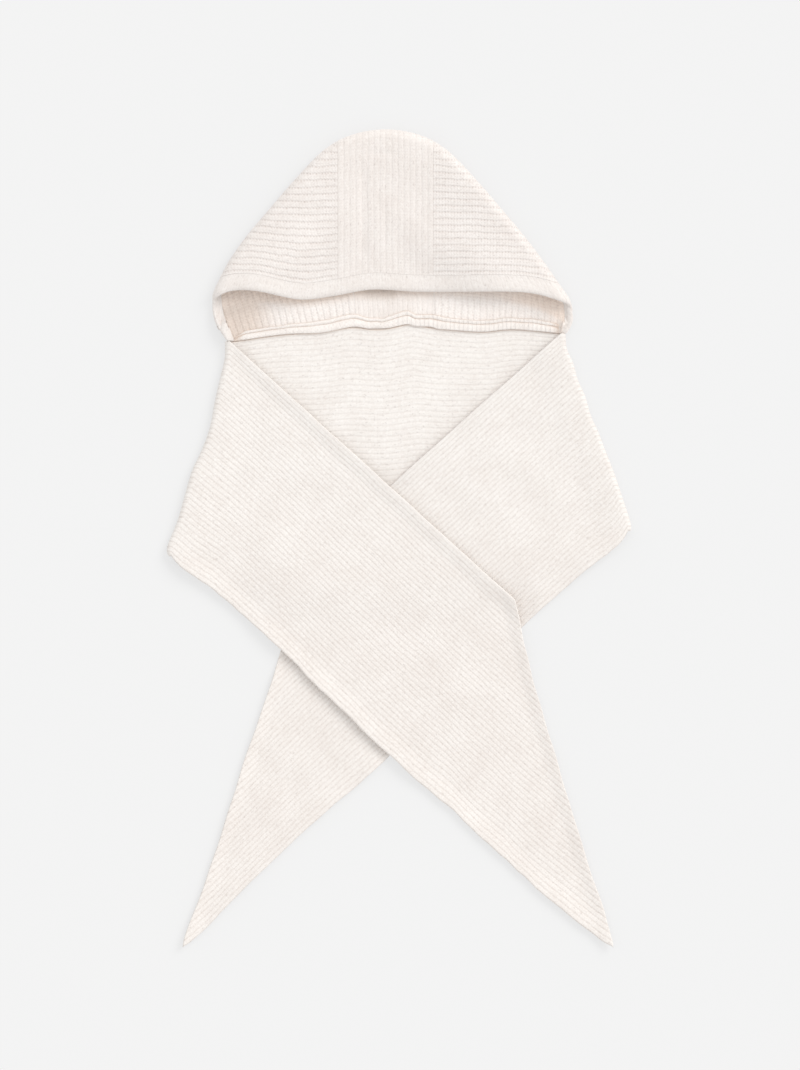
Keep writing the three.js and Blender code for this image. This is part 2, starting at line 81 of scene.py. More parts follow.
# The neck seam from left to right: place, share of its full width and rise of its lower edge, in
# metres.
SEAM_RUN = [
    (-0.197, 0.24, 0.0), (-0.19, 0.5, 0.0), (-0.181, 0.7, 0.0), (-0.13, 0.74, 0.0),
    (-0.082, 0.96, -0.0008), (-0.064, 0.96, 0.0), (-0.05, 0.97, 0.0012), (-0.036, 0.84, 0.0002),
    (-0.025, 0.8, 0.0016), (-0.018, 0.76, 0.0008), (-0.01, 0.92, 0.0003), (0.002, 1.05, 0.0006),
    (0.013, 1.05, -0.0005), (0.021, 0.9, -0.002), (0.032, 0.94, 0.0), (0.039, 0.96, 0.0009),
    (0.048, 1.0, -0.0004), (0.058, 0.94, -0.0004), (0.1, 0.88, 0.0), (0.15, 0.9, 0.0),
    (0.185, 0.8, 0.0), (0.197, 0.6, 0.0),
]
# Painted shade behind the band, from left to right: place, metres below its free edge, and the
# painted tone of the inner face in the shade and below it: darker is painted shade, paler is painted
# light.
SHADE = [
    (-0.211, 0.016, 0.93, 0.76), (-0.19, 0.016, 0.97, 0.8), (-0.165, 0.014, 1.0, 0.86),
    (-0.153, 0.01, 1.0, 0.95), (-0.12, 0.0045, 1.02, 1.0), (-0.05, 0.004, 0.95, 0.955),
    (-0.035, 0.0085, 0.75, 0.945), (-0.006, 0.0085, 0.75, 0.945), (0.0, 0.005, 0.91, 0.955),
    (0.04, 0.0045, 0.97, 0.965), (0.06, 0.003, 1.05, 1.0), (0.12, 0.007, 1.06, 1.04),
    (0.14, 0.012, 1.06, 1.03), (0.17, 0.016, 1.0, 0.97), (0.2, 0.024, 0.96, 0.93),
]
# Painted shade: where it comes in behind the band's edge, and how warm it is.
SHADE_EDGE = (-0.007, 0.005)  # the shade comes in between these distances behind its edge
SHADE_WARMTH = [(-0.02, 1.0), (0.06, 0.6), (0.12, 0.6), (0.16, 1.0)]  # place, how warm the shade is
# Painted light: the stitches on the inner face get only this share of their painted shade.
INNER_GROOVE_SHADE = 0.6  # how strongly the stitches show on the inner face
# How far a fold of the scarf lies inside the straight line between its corners: share of the
# fold's length, metres.
LEFT_FOLD = [
    (0.0, -0.0055), (0.08, 0.0), (0.16, 0.0014), (0.28, 0.0034), (0.4, 0.0066), (0.51, 0.0048),
    (0.6, 0.0006), (0.7, 0.0004), (0.83, 0.0006), (0.9, -0.0016), (0.95, -0.0038),
    (1.0, -0.0042),
]
RIGHT_FOLD = [
    (0.0, 0.001), (0.08, 0.0058), (0.15, 0.0042), (0.24, 0.0056), (0.31, 0.0036),
    (0.42, 0.0046), (0.5, 0.0026), (0.59, 0.0018), (0.72, 0.0004), (0.84, 0.0006),
    (1.0, 0.0003),
]
# How far an end's hem lies outside the straight line from the fold to the tip: share, metres.
LEFT_HEM = [
    (0.0, 0.0), (0.033, -0.001), (0.059, -0.0032), (0.084, -0.0062), (0.12, -0.0074),
    (0.17, -0.0076), (0.21, -0.0067), (0.25, -0.0061), (0.4, 0.0), (0.57, 0.0035),
    (0.64, 0.0022), (0.7, 0.0048), (0.77, 0.0045), (0.83, 0.0066), (0.9, 0.0047),
    (0.96, 0.0021), (1.0, 0.0),
]
RIGHT_HEM = [
    (0.0, 0.0), (0.02, 0.0036), (0.043, 0.0028), (0.067, 0.0004), (0.091, -0.0012),
    (0.125, -0.0024), (0.163, -0.003), (0.23, -0.004), (0.4, -0.0015), (0.6, 0.0002),
    (0.66, -0.0024), (0.78, -0.0032), (0.9, -0.0008), (0.96, 0.0014), (1.0, 0.0),
]
# How far an end's slanted cut lies inside the straight line from the inner corner to the tip.
LEFT_CUT = [
    (0.0, 0.0), (0.1, 0.005), (0.2, 0.009), (0.3, 0.0096), (0.4, 0.0082), (0.47, 0.007),
    (0.6, 0.006), (0.67, 0.0032), (0.74, 0.003), (0.81, 0.0), (0.89, -0.004), (1.0, -0.003),
]
RIGHT_CUT = [
    (0.0, 0.0), (0.15, 0.015), (0.22, 0.0212), (0.28, 0.0218), (0.34, 0.0206), (0.42, 0.018),
    (0.5, 0.0134), (0.69, 0.0103), (0.83, 0.0062), (0.89, 0.0018), (0.96, -0.0033),
    (1.0, -0.004),
]
# The scarf's two ends, as they lie: lengths in metres, angles in degrees.
LEFT_END = {
    "fold_length": 0.2698,
    "fold_lean": 16.4,
    "inner_edge": 0.461,
    "inner_angle": 42.3,
    "outer_edge": 0.7114,
    "outer_angle": 41.33,
    "fold_line": LEFT_FOLD,
    "hem_line": LEFT_HEM,
    "cut_line": LEFT_CUT,
}
RIGHT_END = {
    "fold_length": 0.251,
    "fold_lean": 19.1,
    "inner_edge": 0.431,
    "inner_angle": 41.3,
    "outer_edge": 0.737,
    "outer_angle": 42.8,
    "fold_line": RIGHT_FOLD,
    "hem_line": RIGHT_HEM,
    "cut_line": RIGHT_CUT,
}


# Sizes and colours


def factor(name, description, default, **kind):
    return bpy.props.FloatProperty(name=name, description=description, default=default, **kind)


def metres(name, description, default):
    return factor(name, description, default, unit="LENGTH")


def angle(name, description, default):
    return factor(name, description, default, subtype="ANGLE")


def number(name, description, default):
    return bpy.props.IntProperty(name=name, description=description, default=default)


def tint(name, description, default):
    return bpy.props.FloatVectorProperty(
        name=name, description=description, default=default, subtype="COLOR"
    )


class HoodSizes(bpy.types.PropertyGroup):
    height: metres("Height", "Neck line to crown", 0.25)
    half_width: metres("Half width", "Middle to side fold", 0.215)
    neck_half_width: metres("Neck half width", "Half the neck line", 0.202)
    neck_wave: metres("Neck wave", "Rise of the neck line's wave", 0.018)
    lean: metres("Lean", "How far the crown lies to the left", 0.015)
    fold_radius: metres("Fold radius", "Middle of the cloth at the folds", 0.009)
    sag: metres("Sag", "How much the top layer sinks", 0.004)
    puff: metres("Puff", "Extra height of the opening's corners", 0.006)
    front_sink: metres("Front sink", "How much lower the opening's middle lies", 0.0058)
    crown_width: metres("Crown width", "Width of the centre strip", 0.115)
    nape_width: metres("Nape width", "The centre strip's width at the neck", 0.092)
    crown_ribs: number("Crown ribs", "Ribs across the centre strip", 16)
    side_ribs: number("Side ribs", "Ribs from the band to the crown", 20)
    opening_rise: metres("Opening", "Neck line to the band's free edge", 0.054)
    opening_wave: metres("Opening wave", "Wave of the band's free edge", 0.012)
    band_width: metres("Band width", "Width of the rolled band", 0.020)
    band_foot: metres("Band foot", "The band's width at the neck line", 0.0035)
    band_bow: metres("Band bow", "How far it swells out below the folds", 0.006)
    band_foot_left: metres("Left foot out", "How far the band ends outside the neck line", 0.005)
    band_foot_right: metres("Right foot out", "How far the band ends outside the neck line", 0.002)
    seam_width: metres("Seam width", "Width of the neck seam", 0.0150)
    seam_height: metres("Seam height", "Height of the neck seam", 0.0037)


class ScarfSizes(bpy.types.PropertyGroup):
    ribs: number("Ribs", "Ribs across the scarf", 43)
    selvedge: metres("Selvedge", "Plain inner edge", 0.0045)
    fold_radius: metres("Fold radius", "Middle of the cloth at the folds", 0.004)
    back_sag: metres("Back sag", "How far the back's lower edge hangs", 0.036)
    drape: metres("Drape", "Length of the step down off a layer", 0.060)
    settle: metres("Settle", "Length in which a fold flattens", 0.050)
    corner: metres("Corner", "How far rounding takes the outer corners back", 0.0055)
    tip: metres("Tip", "How far rounding takes the two tips back", 0.0045)


class KnitLooks(bpy.types.PropertyGroup):
    thickness: metres("Thickness", "Thickness of the cloth", 0.0036)
    groove: metres("Groove depth", "Depth between two ribs", 0.0003)
    fine_groove: metres("Fine groove depth", "Depth between two ribs of the scarf", 0.0002)
    layer_gap: metres("Layer gap", "Air between two layers", 0.0008)
    sewn_gap: metres("Sewn gap", "Gap between two sewn edges", 0.00006)
    stitch: metres("Stitch", "Length of one stitch", 0.0036)
    yarn_light: tint("Light yarn", "Cream fibres", (0.92, 0.875, 0.838))
    yarn_dark: tint("Dark yarn", "Oatmeal fibres", (0.80, 0.735, 0.69))
    fleck: tint("Flecks", "Grey fibres in the melange", (0.60, 0.54, 0.51))
    # Painted warm shade deep inside the hood.
    inside: tint("Inside", "Tone deep inside the hood", (1.0, 0.925, 0.865))
    # Painted light: the hood's inner face is painted this many times paler than its outer face.
    inner_light: factor("Painted inner light", "Brightness of the inner face next to the outer one", 1.1)
    # Painted shade: the colour that the holes and creases between the stitches are painted towards.
    groove_shade: tint("Hollows", "Tone between the ribs", (0.50, 0.40, 0.35))


class StudioLooks(bpy.types.PropertyGroup):
    floor: tint("Floor", "Plain pale floor", (0.291, 0.291, 0.291))
    floor_glow: factor("Floor glow", "Light that comes up through the floor", 0.5605)
    surround: factor("Surround", "Brightness of the white room", 0.94)
    key: factor("Key", "Strength of the soft key light", 1.25)
    key_softness: angle("Key softness", "Angle of the key light", math.radians(32)
    )
    field_height: metres("Field", "Height of the picture on the floor", 1.284)
    camera_height: metres("Camera height", "Height above the floor", 7.0)


# Small maths


def clamp(value, low=0.0, high=1.0):
    return np.minimum(np.maximum(value, low), high)


def blend(a, b, share):
    return a + (b - a) * share


def ease(value, start, end):
    t = clamp((value - start) / (end - start))
    return t * t * (3 - 2 * t)


def pairs(x, y):
    """Plan points from their x and y."""
    return np.stack([x, y], axis=-1)


def curve(t, start, end, slope, end_slope):
    """A smooth curve from start at t = 0 to end at t = 1, with these slopes at both."""
    return (
        start * (2 * t**3 - 3 * t**2 + 1)
        + slope * (t**3 - 2 * t**2 + t)
        + end * (3 * t**2 - 2 * t**3)
        + end_slope * (t**3 - t**2)
    )


def read_table(rows, x):
    """Values of a table at x, on a smooth curve through its rows."""
    place, value = np.array(rows, float).T
    slope = np.empty(len(place))
    slope[1:-1] = (value[2:] - value[:-2]) / (place[2:] - place[:-2])
    slope[0] = (value[1] - value[0]) / (place[1] - place[0])
    slope[-1] = (value[-1] - value[-2]) / (place[-1] - place[-2])
    to = np.clip(np.searchsorted(place, x, side="right"), 1, len(place) - 1)
    span = place[to] - place[to - 1]
    t = clamp((x - place[to - 1]) / span)
    return curve(t, value[to - 1], value[to], slope[to - 1] * span, slope[to] * span)


def smooth_line(points, steps):
    """A curve through all the points, steps pieces between each two."""
    p = np.array([points[0], *points, points[-1]], float)
    t = np.linspace(0, 1, steps, endpoint=False)[:, None]
    parts = [curve(t, b, c, (c - a) / 2, (d - b) / 2) for a, b, c, d in zip(p, p[1:], p[2:], p[3:])]
    return np.vstack([*parts, p[-1]])


def inside_distance(polygon, points):
    """Distance from plan points to a polygon's edge, positive inside it."""
    flat = points.reshape(-1, 2)
    a, b = polygon, np.roll(polygon, -1, axis=0)
    nearest = np.full(len(flat), np.inf)
    inside = np.zeros(len(flat), bool)
    for start, end in zip(a, b):
        d = end - start
        length2 = d @ d
        if length2 < 1e-16:
            continue
        to = flat - start
        t = clamp(to @ d / length2)
        nearest = np.minimum(nearest, np.hypot(*(to - t[:, None] * d).T))
        if start[1] != end[1]:
            crosses = (start[1] > flat[:, 1]) != (end[1] > flat[:, 1])
            inside ^= crosses & (flat[:, 0] < start[0] + d[0] * (flat[:, 1] - start[1]) / d[1])
    return np.where(inside, nearest, -nearest).reshape(points.shape[:-1])


def ripple(x, y, longest, seed):
    """Smooth unevenness from -1 to 1, with waves from a third of longest up to longest."""
    rng = np.random.default_rng(seed)
    total = np.zeros(np.broadcast(x, y).shape)
    for _ in range(9):
        wave = longest * rng.uniform(0.33, 1.0)
        turn, phase = rng.uniform(0, math.pi), rng.uniform(0, 2 * math.pi)
        total = total + np.sin((x * math.cos(turn) + y * math.sin(turn)) * 2 * math.pi / wave + phase)
    return total / 4.5


def ridge(ribs):
    """Height of the cloth's face over a rib coordinate: 0 between two ribs and 1 on a rib."""
    return np.abs(np.sin(math.pi * ribs)) ** 0.6


def rounding(distance, radius, least):
    """Share of its thickness that cloth keeps at a distance from its edge."""
    return least + (1 - least) * np.sqrt(1 - (1 - clamp(distance / radius)) ** 2)


def both_rounded(distance, whole, radius, least):
    """The same for cloth with an edge at 0 and one at the whole distance."""
    return rounding(distance, radius, least) * rounding(whole - distance, radius, least)


# The garment's plan


PUFF_SPAN = (0.1, 0.13)  # the opening's puff reaches this far from the fold, left and right
SINK_START = (0.04, 0.058)  # the front starts to sink this far from it, left and right
SINK_LENGTH = 0.07  # and has sunk over this length
FRONT_REACH = 0.1  # puff and sinking end this far above the band's free edge
SAG_REACH = 0.08  # the top layer has sagged this far from the fold
UNEVEN = 0.0005  # height of the cloth's unevenness
CURL = 0.0032  # the free edges of the scarf's ends curl up by this much
HEM_CURL_REACH = 0.024
CUT_CURL_REACH = 0.03
LIFT_START = 0.006  # cloth keeps its height this far past the edge of what it lies on


class Hood:
    """The laid hood's plan and heights, from the neck's middle, in metres."""

    def __init__(self, sizes, knit):
        self.s = sizes
        self.half_cloth = knit.thickness / 2
        self.sewn = knit.sewn_gap
        self.back_half = sizes.neck_half_width - self.half_cloth - BACK_INSET
        half = [
            (out * (sizes.half_width - self.half_cloth), up * (sizes.height - self.half_cloth))
            for up, out in HOOD_OUTLINE
        ]
        neck = sizes.neck_half_width - self.half_cloth
        half += [(neck, 0.0), (neck, -sizes.half_width)]
        both = [(-x, y) for x, y in half[:0:-1]] + half
        self.edge = smooth_line([(x + self.lean(y), y) for x, y in both], 14)
        self.crown_left = -sizes.lean - sizes.crown_width / 2
        self.crown_right = -sizes.lean + sizes.crown_width / 2
        self.band_inner = neck - sizes.band_foot

    def lean(self, y):
        return -self.s.lean * ease(np.asarray(y) / self.s.height, -0.16, 0.44)

    def neck_line(self, x):
        return self.s.neck_wave * read_table(NECK_SHAPE, clamp(x / self.back_half, -1, 1))

    def opening_line(self, x):
        return self.s.opening_rise + self.s.opening_wave * read_table(OPENING_SHAPE, x / self.s.half_width)

    def place(self, plan, layer):
        """Points of the cloth's middle over plan points. Layer 1 is the top, -1 the one below."""
        s = self.s
        depth = np.maximum(inside_distance(self.edge, plan), 0)
        in_fold = np.maximum(s.fold_radius - depth, 0)
        half_gap = np.sqrt(s.fold_radius**2 - in_fold**2)
        z = self.half_cloth + s.fold_radius + layer * half_gap
        if layer > 0:
            front = 1 - ease(plan[..., 1] - s.opening_rise, s.band_width, FRONT_REACH)
            # The band lies lower on the left, where its corner is narrower.
            right = ease(plan[..., 0], -0.03, 0.03)
            corner = np.sin(math.pi * ease(depth, 0, blend(*PUFF_SPAN, right)))
            settled = ease(depth, s.fold_radius, SAG_REACH)
            low = blend(*SINK_START, right)
            sunk = s.sag * settled + s.front_sink * front * ease(depth, low, low + SINK_LENGTH)
            uneven = ripple(plan[..., 0], plan[..., 1], 0.09, 5)
            z = z + s.puff * front * corner - sunk + UNEVEN * uneven * settled
        return np.dstack([plan[..., 0], plan[..., 1], z])

    def to_fold(self, outward, columns, longest):
        """Length along each plan path at which it meets the hood's outline."""
        near, far = np.zeros(columns), np.full(columns, longest)
        for _ in range(30):
            middle = (near + far) / 2
            inside = inside_distance(self.edge, outward(middle)) > 0
            near, far = np.where(inside, middle, near), np.where(inside, far, middle)
        return near

    def round_fold(self, outward, foot, longest, bow, top_rows, foot_rows):
        """Middle lines of cloth that run out to the fold on the top layer and back below it."""
        columns = len(foot)
        length = self.to_fold(outward, columns, longest)
        turn = outward(length)
        tops = 1 - np.linspace(1, 0, top_rows + 1) ** 1.8
        # A first row lies close to the sewn edge.
        tops = np.concatenate([[0.0, 0.006, 0.014], tops[1:]])
        top = self.place(np.stack([outward(length * t) for t in tops]), 1)
        top[-1, :, 2] = self.half_cloth + self.s.fold_radius
        shares = np.linspace(0, 1, foot_rows + 1)[1:] ** 1.7
        shares = np.concatenate([shares[:-1], [0.985, 1.0]])
        plans = [
            blend(turn, foot, t)
            + pairs(np.sign(turn[:, 0]) * bow * math.sin(math.pi * t), np.zeros(columns))
            for t in shares
        ]
        return np.concatenate([top, self.place(np.stack(plans), -1)])

    def side_start(self, side):
        return self.crown_left - self.sewn / 2 if side < 0 else self.crown_right + self.sewn / 2


class Scarf:
    """The laid scarf's plan and heights, from the neck's middle, in metres."""

    def __init__(self, sizes, knit, hood):
        self.s = sizes
        self.hood = hood
        self.half_cloth = knit.thickness / 2
        self.step = knit.thickness + knit.layer_gap
        self.left = self.corners(-1, LEFT_END, knit)
        self.right = self.corners(1, RIGHT_END, knit)
        hem = self.back(np.linspace(0, 1, 9)[:, None], np.array([[1.0]]))[:, 0]
        self.back_region = np.vstack([self.left["neck"], hem, self.right["neck"]])
        self.right_region = np.array([self.right[k] for k in ("neck", "hem", "tip", "cut")])
        self.left_region = np.array([self.left[k] for k in ("neck", "hem", "tip", "cut")])

    def corners(self, side, end, knit):
        def heading(degrees):
            return np.array([side * math.cos(math.radians(degrees)), -math.sin(math.radians(degrees))])

        x = side * (self.hood.s.neck_half_width - self.half_cloth)
        y = float(self.hood.neck_line(side * self.hood.back_half)) - knit.sewn_gap
        neck = np.array([x, y])
        hem = neck + heading(90 - end["fold_lean"]) * end["fold_length"]
        cut = neck + heading(180 - end["inner_angle"]) * end["inner_edge"]
        tip = hem + heading(180 - end["outer_angle"]) * end["outer_edge"]

        def towards(a, b):
            return (b - a) / np.linalg.norm(b - a)

        at_hem = towards(hem, neck) + towards(hem, tip)
        at_tip = towards(tip, hem) + towards(tip, cut)
        roundings = [
            (hem, at_hem / np.linalg.norm(at_hem), self.s.corner),
            (tip, at_tip / np.linalg.norm(at_tip), self.s.tip),
        ]
        places = {"side": side, "neck": neck, "hem": hem, "cut": cut, "tip": tip}
        return {**end, **places, "home": towards(tip, hem), "roundings": roundings}

    @staticmethod
    def rounded(plan, roundings):
        """Moves plan points inwards where they lie near a rounded corner."""
        for corner, inwards, retreat in roundings:
            within = np.maximum((plan - corner) @ inwards, 0)
            plan = plan + inwards * (np.hypot(within, retreat) - within)[..., None]
        return plan

    def fold_plan(self, end, across):
        point = blend(end["neck"], end["hem"], across[..., None])
        point[..., 0] -= end["side"] * (self.s.fold_radius + read_table(end["fold_line"], across))
        return point

    def back(self, along, across):
        left, right = self.fold_plan(self.left, across), self.fold_plan(self.right, across)
        neck = [self.fold_plan(end, np.zeros(1))[0, 0] for end in (self.left, self.right)]
        neck_y = self.hood.neck_line(blend(*neck, along)) - self.hood.sewn
        hem_y = blend(self.left["hem"][1], self.right["hem"][1], along)
        hem_y = hem_y - self.s.back_sag * 4 * along * (1 - along)
        x = blend(left[..., 0], right[..., 0], along)
        point = pairs(x, blend(neck_y, hem_y, across))
        return self.rounded(point, [self.left["roundings"][0], self.right["roundings"][0]])

    def lift(self, region, plan):
        """Share of a layer's height that cloth keeps at plan points that lie on or beside it."""
        outside = -inside_distance(region, plan)
        return 1 - ease(outside, LIFT_START, LIFT_START + self.s.drape)

    def end(self, end, along, across, lifters, seed, cover=None):
        """Points of one end: along is 0 at the fold and 1 at the slanted cut. It lies on the
        lifters and does not curl where cover lies on it."""
        start = self.fold_plan(end, across)
        cut = blend(end["cut"], end["tip"], across[..., None])
        home = end["home"]
        inset = read_table(end["cut_line"], across) + 0.0006 * np.sin(across * 47 + seed)
        cut = cut + home * inset[..., None]
        plan = blend(start, cut, along[..., None])
        aside = np.array([home[1], -home[0]]) * end["side"]
        swell = across**2 * read_table(end["hem_line"], along)
        uneven_hem = 0.0007 * across**8 * ripple(along * 0.7, 0 * across, 0.05, seed + 3)
        plan = plan + aside * (swell + uneven_hem)[..., None]
        plan = self.rounded(plan, end["roundings"])
        ribs_way = np.array([-home[1], home[0]])
        wander = ripple(plan[..., 0], plan[..., 1], 0.12, seed) * np.sin(math.pi * clamp(along)) ** 0.5
        plan = plan + ribs_way * (0.0006 * wander)[..., None]
        run = np.linalg.norm(plan - start, axis=-1)
        layers = sum(self.lift(region, plan) for region in lifters)
        z = blend(2 * self.s.fold_radius, layers * self.step, ease(run, 0, self.s.settle))
        width = np.linalg.norm(end["hem"] - end["neck"]) * 0.9
        to_edge = np.minimum(across, 1 - across) * width
        to_cut = (1 - along) * np.linalg.norm(cut - start, axis=-1)
        curl = CURL * (2 - ease(to_edge, 0, HEM_CURL_REACH) - ease(to_cut, 0, CUT_CURL_REACH))
        uneven = UNEVEN * (1 + ripple(plan[..., 0], plan[..., 1], 0.14, seed + 7))
        free = 1.0 if cover is None else ease(-inside_distance(cover, plan), 0.002, 0.03)
        z = z + (curl + uneven) * free * ease(run, 0, 0.03)
        return np.dstack([plan[..., 0], plan[..., 1], self.half_cloth + z])

    def fold(self, end, turn, across):
        """Points of one fold: turn is 0 on the back and 1 on the end above it."""
        start = self.rounded(self.fold_plan(end, across), end["roundings"])
        angle = math.pi * (turn - 0.5)
        radius = self.s.fold_radius
        # The fold narrows towards the hem, where the corner is round.
        bulge = np.sqrt(1 - 0.85 * clamp((across - 0.955) / 0.045) ** 2)
        x = start[..., 0] + end["side"] * radius * bulge * np.cos(angle)
        z = self.half_cloth + radius * (1 + np.sin(angle))
        return np.dstack([x, np.broadcast_to(start[..., 1], x.shape), np.broadcast_to(z, x.shape)])


def garment(context):
    knit = context.scene.snood_knit
    hood = Hood(context.scene.snood_hood, knit)
    return knit, hood, Scarf(context.scene.snood_scarf, knit, hood)


def neck_origin():
    """The neck line's middle in the frame."""
    low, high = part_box("neck_seam")
    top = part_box("crown_strip")[1].y
    return np.array([(low.x + high.x) / 2, top - CROWN_ABOVE_NECK, 0.0])


# Meshes


def add_grid(name, rows, columns):
    """A new flat grid of rows by columns of points, alone in the selection."""
    bpy.ops.object.select_all(action="DESELECT")
    bpy.ops.mesh.primitive_grid_add(
        x_subdivisions=columns - 1, y_subdivisions=rows - 1, size=1, calc_uvs=True
    )
    obj = bpy.context.object
    obj.name = obj.data.name = name
    if len(obj.data.vertices) != rows * columns:
        raise RuntimeError(f"{name}: the grid has {len(obj.data.vertices)} points")
    return obj


def set_uvs(obj, u, v, inner_shift=0.0):
    """Gives every corner of a mesh made from a grid its place on the knitting, in metres."""
    mesh = obj.data
    count = u.size
    corners = np.empty(len(mesh.loops), np.int64)
    mesh.loops.foreach_get("vertex_index", corners)
    inner = corners >= count
    base = corners % count
    uv = np.column_stack([u.ravel()[base], v.ravel()[base]])
    face_is_inner = np.repeat(
        [inner[p.loop_start : p.loop_start + p.loop_total].all() for p in mesh.polygons],
        [p.loop_total for p in mesh.polygons],
    )
    uv[face_is_inner, 1] += inner_shift
    mesh.uv_layers.active.data.foreach_set("uv", uv.ravel())


def normals_of(middle):
    across = np.gradient(middle, axis=1)
    along = np.gradient(middle, axis=0)
    n = np.cross(across, along)
    return n / np.linalg.norm(n, axis=2, keepdims=True)


def runs_backwards(middle):
    """Tells whether a grid's columns have to be turned round for its outer face to look up."""
    return normals_of(middle)[1, middle.shape[1] // 2, 2] < 0


def run_lengths(middle):
    """Length along each column of a grid, from its first row."""
    steps = np.linalg.norm(np.diff(middle, axis=0), axis=2)
    return np.vstack([np.zeros(middle.shape[1]), np.cumsum(steps, axis=0)])


def cloth_area(middle):
    """Area of the cloth whose middle the grid of points follows."""
    along, across = middle[1:, :-1] - middle[:-1, :-1], middle[:-1, 1:] - middle[:-1, :-1]
    return float(np.linalg.norm(np.cross(along, across), axis=-1).sum())


def knitted_wall(name, middle, ribs, outer_relief, inner_relief, edge_share, pitch, knit, length=None):
    """A wall of ribbed cloth round a grid of middle points, with rounded edges. The length along
    the ribs is measured on the grid where none is given."""
    length = run_lengths(middle) if length is None else length
    if runs_backwards(middle):
        middle, ribs = middle[:, ::-1], ribs[:, ::-1]
        outer_relief, inner_relief = outer_relief[:, ::-1], inner_relief[:, ::-1]
        edge_share, length = edge_share[:, ::-1], length[:, ::-1]
    rows, columns = middle.shape[:2]
    obj = add_grid(name, rows, columns)
    thicken = obj.modifiers.new("Thickness", "SOLIDIFY")
    thicken.thickness = knit.thickness
    thicken.offset = -1
    bpy.ops.object.modifier_apply(modifier=thicken.name)
    normal = normals_of(middle)
    half = knit.thickness / 2
    origin = neck_origin()
    outer = middle + normal * ((half - outer_relief) * edge_share)[..., None] + origin
    inner = middle - normal * ((half - inner_relief) * edge_share)[..., None] + origin
    points = np.concatenate([outer.reshape(-1, 3), inner.reshape(-1, 3)])
    if len(points) != len(obj.data.vertices):
        raise RuntimeError(f"{name}: the wall has {len(obj.data.vertices)} points")
    obj.data.vertices.foreach_set("co", points.ravel())
    set_uvs(obj, length, ribs * pitch, pitch / 2)
    return finish_mesh(obj)


def knitted_tube(name, rings, u, v):
    """A closed roll of cloth through rings of points. The last point of a ring is its first again."""
    rows, columns = rings.shape[:2]
    obj = add_grid(name, rows, columns)
    obj.data.vertices.foreach_set("co", (rings + neck_origin()).ravel())
    set_uvs(obj, u, v)
    bpy.ops.object.mode_set(mode="EDIT")
    bpy.ops.mesh.select_all(action="SELECT")
    bpy.ops.mesh.remove_doubles(threshold=1e-6)
    bpy.ops.mesh.fill_holes(sides=0)
    bpy.ops.mesh.normals_make_consistent(inside=False)
    bpy.ops.object.mode_set(mode="OBJECT")
    return finish_mesh(obj)


def paint_inner_shading(obj, hood, knit):
    """Paints light and shade on the inner face of a wall of the hood: paler where light falls in, darker
    and warmer in the shade behind the band.
    """
    x, y, _ = (points_of(obj) - neck_origin()).T
    count = len(x)
    # Painted shade behind the band's free edge, warm towards the sides, and painted light and shade on the
    # rest of the inner face.
    place, below, shaded, clear = zip(*SHADE)
    behind = y - hood.opening_line(x) + np.interp(x, place, below)
    shade = ease(behind, *SHADE_EDGE)
    corner = np.maximum(1 - ease(x, -0.18, -0.14), 0.5 * ease(x, 0.16, 0.2))
    warm_shade = np.maximum(shade * np.interp(x, *zip(*SHADE_WARMTH)), corner)[:, None]
    painted_level = blend(np.interp(x, place, clear), np.interp(x, place, shaded), shade)[:, None]
    # The wall's first half of points is its outer face, which gets no painted light or shade here.
    painted_shading = np.ones((count, 4))
    inner = slice(count // 2, None)
    painted_shading[inner, :3] = (knit.inner_light * painted_level * blend(1.0, np.array(knit.inside), warm_shade))[inner]
    # The inner face shows less of the stitches' painted shade, which paints it lighter.
    painted_shading[inner, 3] = INNER_GROOVE_SHADE
    paint(obj, painted_shading)


def finish_mesh(obj):
    obj.data.update()
    bpy.ops.object.shade_smooth_by_angle(angle=math.radians(48))
    # Every point starts without painted light or shade.
    obj.data.color_attributes.new("painted_shading", "FLOAT_COLOR", "POINT")
    paint(obj, np.ones((len(obj.data.vertices), 4)))
    return obj


def paint(obj, painted_shading):
    """Sets each point's painted light and shade, and in its alpha how strongly the stitches' painted shade
    shows.
    """
    obj.data.color_attributes["painted_shading"].data.foreach_set("color", painted_shading.ravel())


def points_of(obj):
    points = np.empty(3 * len(obj.data.vertices))
    obj.data.vertices.foreach_get("co", points)
    return points.reshape(-1, 3)


def dress(obj, node, material):
    obj.data.materials.clear()
    obj.data.materials.append(material)
    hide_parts(node)
    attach(obj, "root")
    return obj


# Materials

# What each piece's knitting differs by: how dark the painted shade in its holes and its creases is, its
# relief in metres, how loose and how slanted its stitches are, and factors of the yarn's colours, which
# paint each piece of the one yarn lighter or darker as painted light and shade.
KNITS = {
    "Strip knit": (0.12, 0.13, 0.0003, 0.55, 1.3, (0.916, 0.911, 0.911)),
    "Hood knit": (0.45, 0.14, 0.0007, 0.55, 1.3, (0.932, 0.931, 0.935)),
    "Band knit": (0.08, 0.06, 0.0003, 0.55, 1.3, (0.909, 0.907, 0.908)),
    "Seam knit": (0.2, 0.12, 0.0006, 0.55, 1.3, (1.0, 1.0, 1.0)),
    "Scarf knit": (0.36, 0.05, 0.0003, 0.2, 0.0, (0.94, 0.95, 0.952)),
}
# Distance between two ribs of the finer knittings, in metres.
BAND_PITCH = 0.0072
SEAM_PITCH = 0.0052
SCARF_PITCH = 0.0054


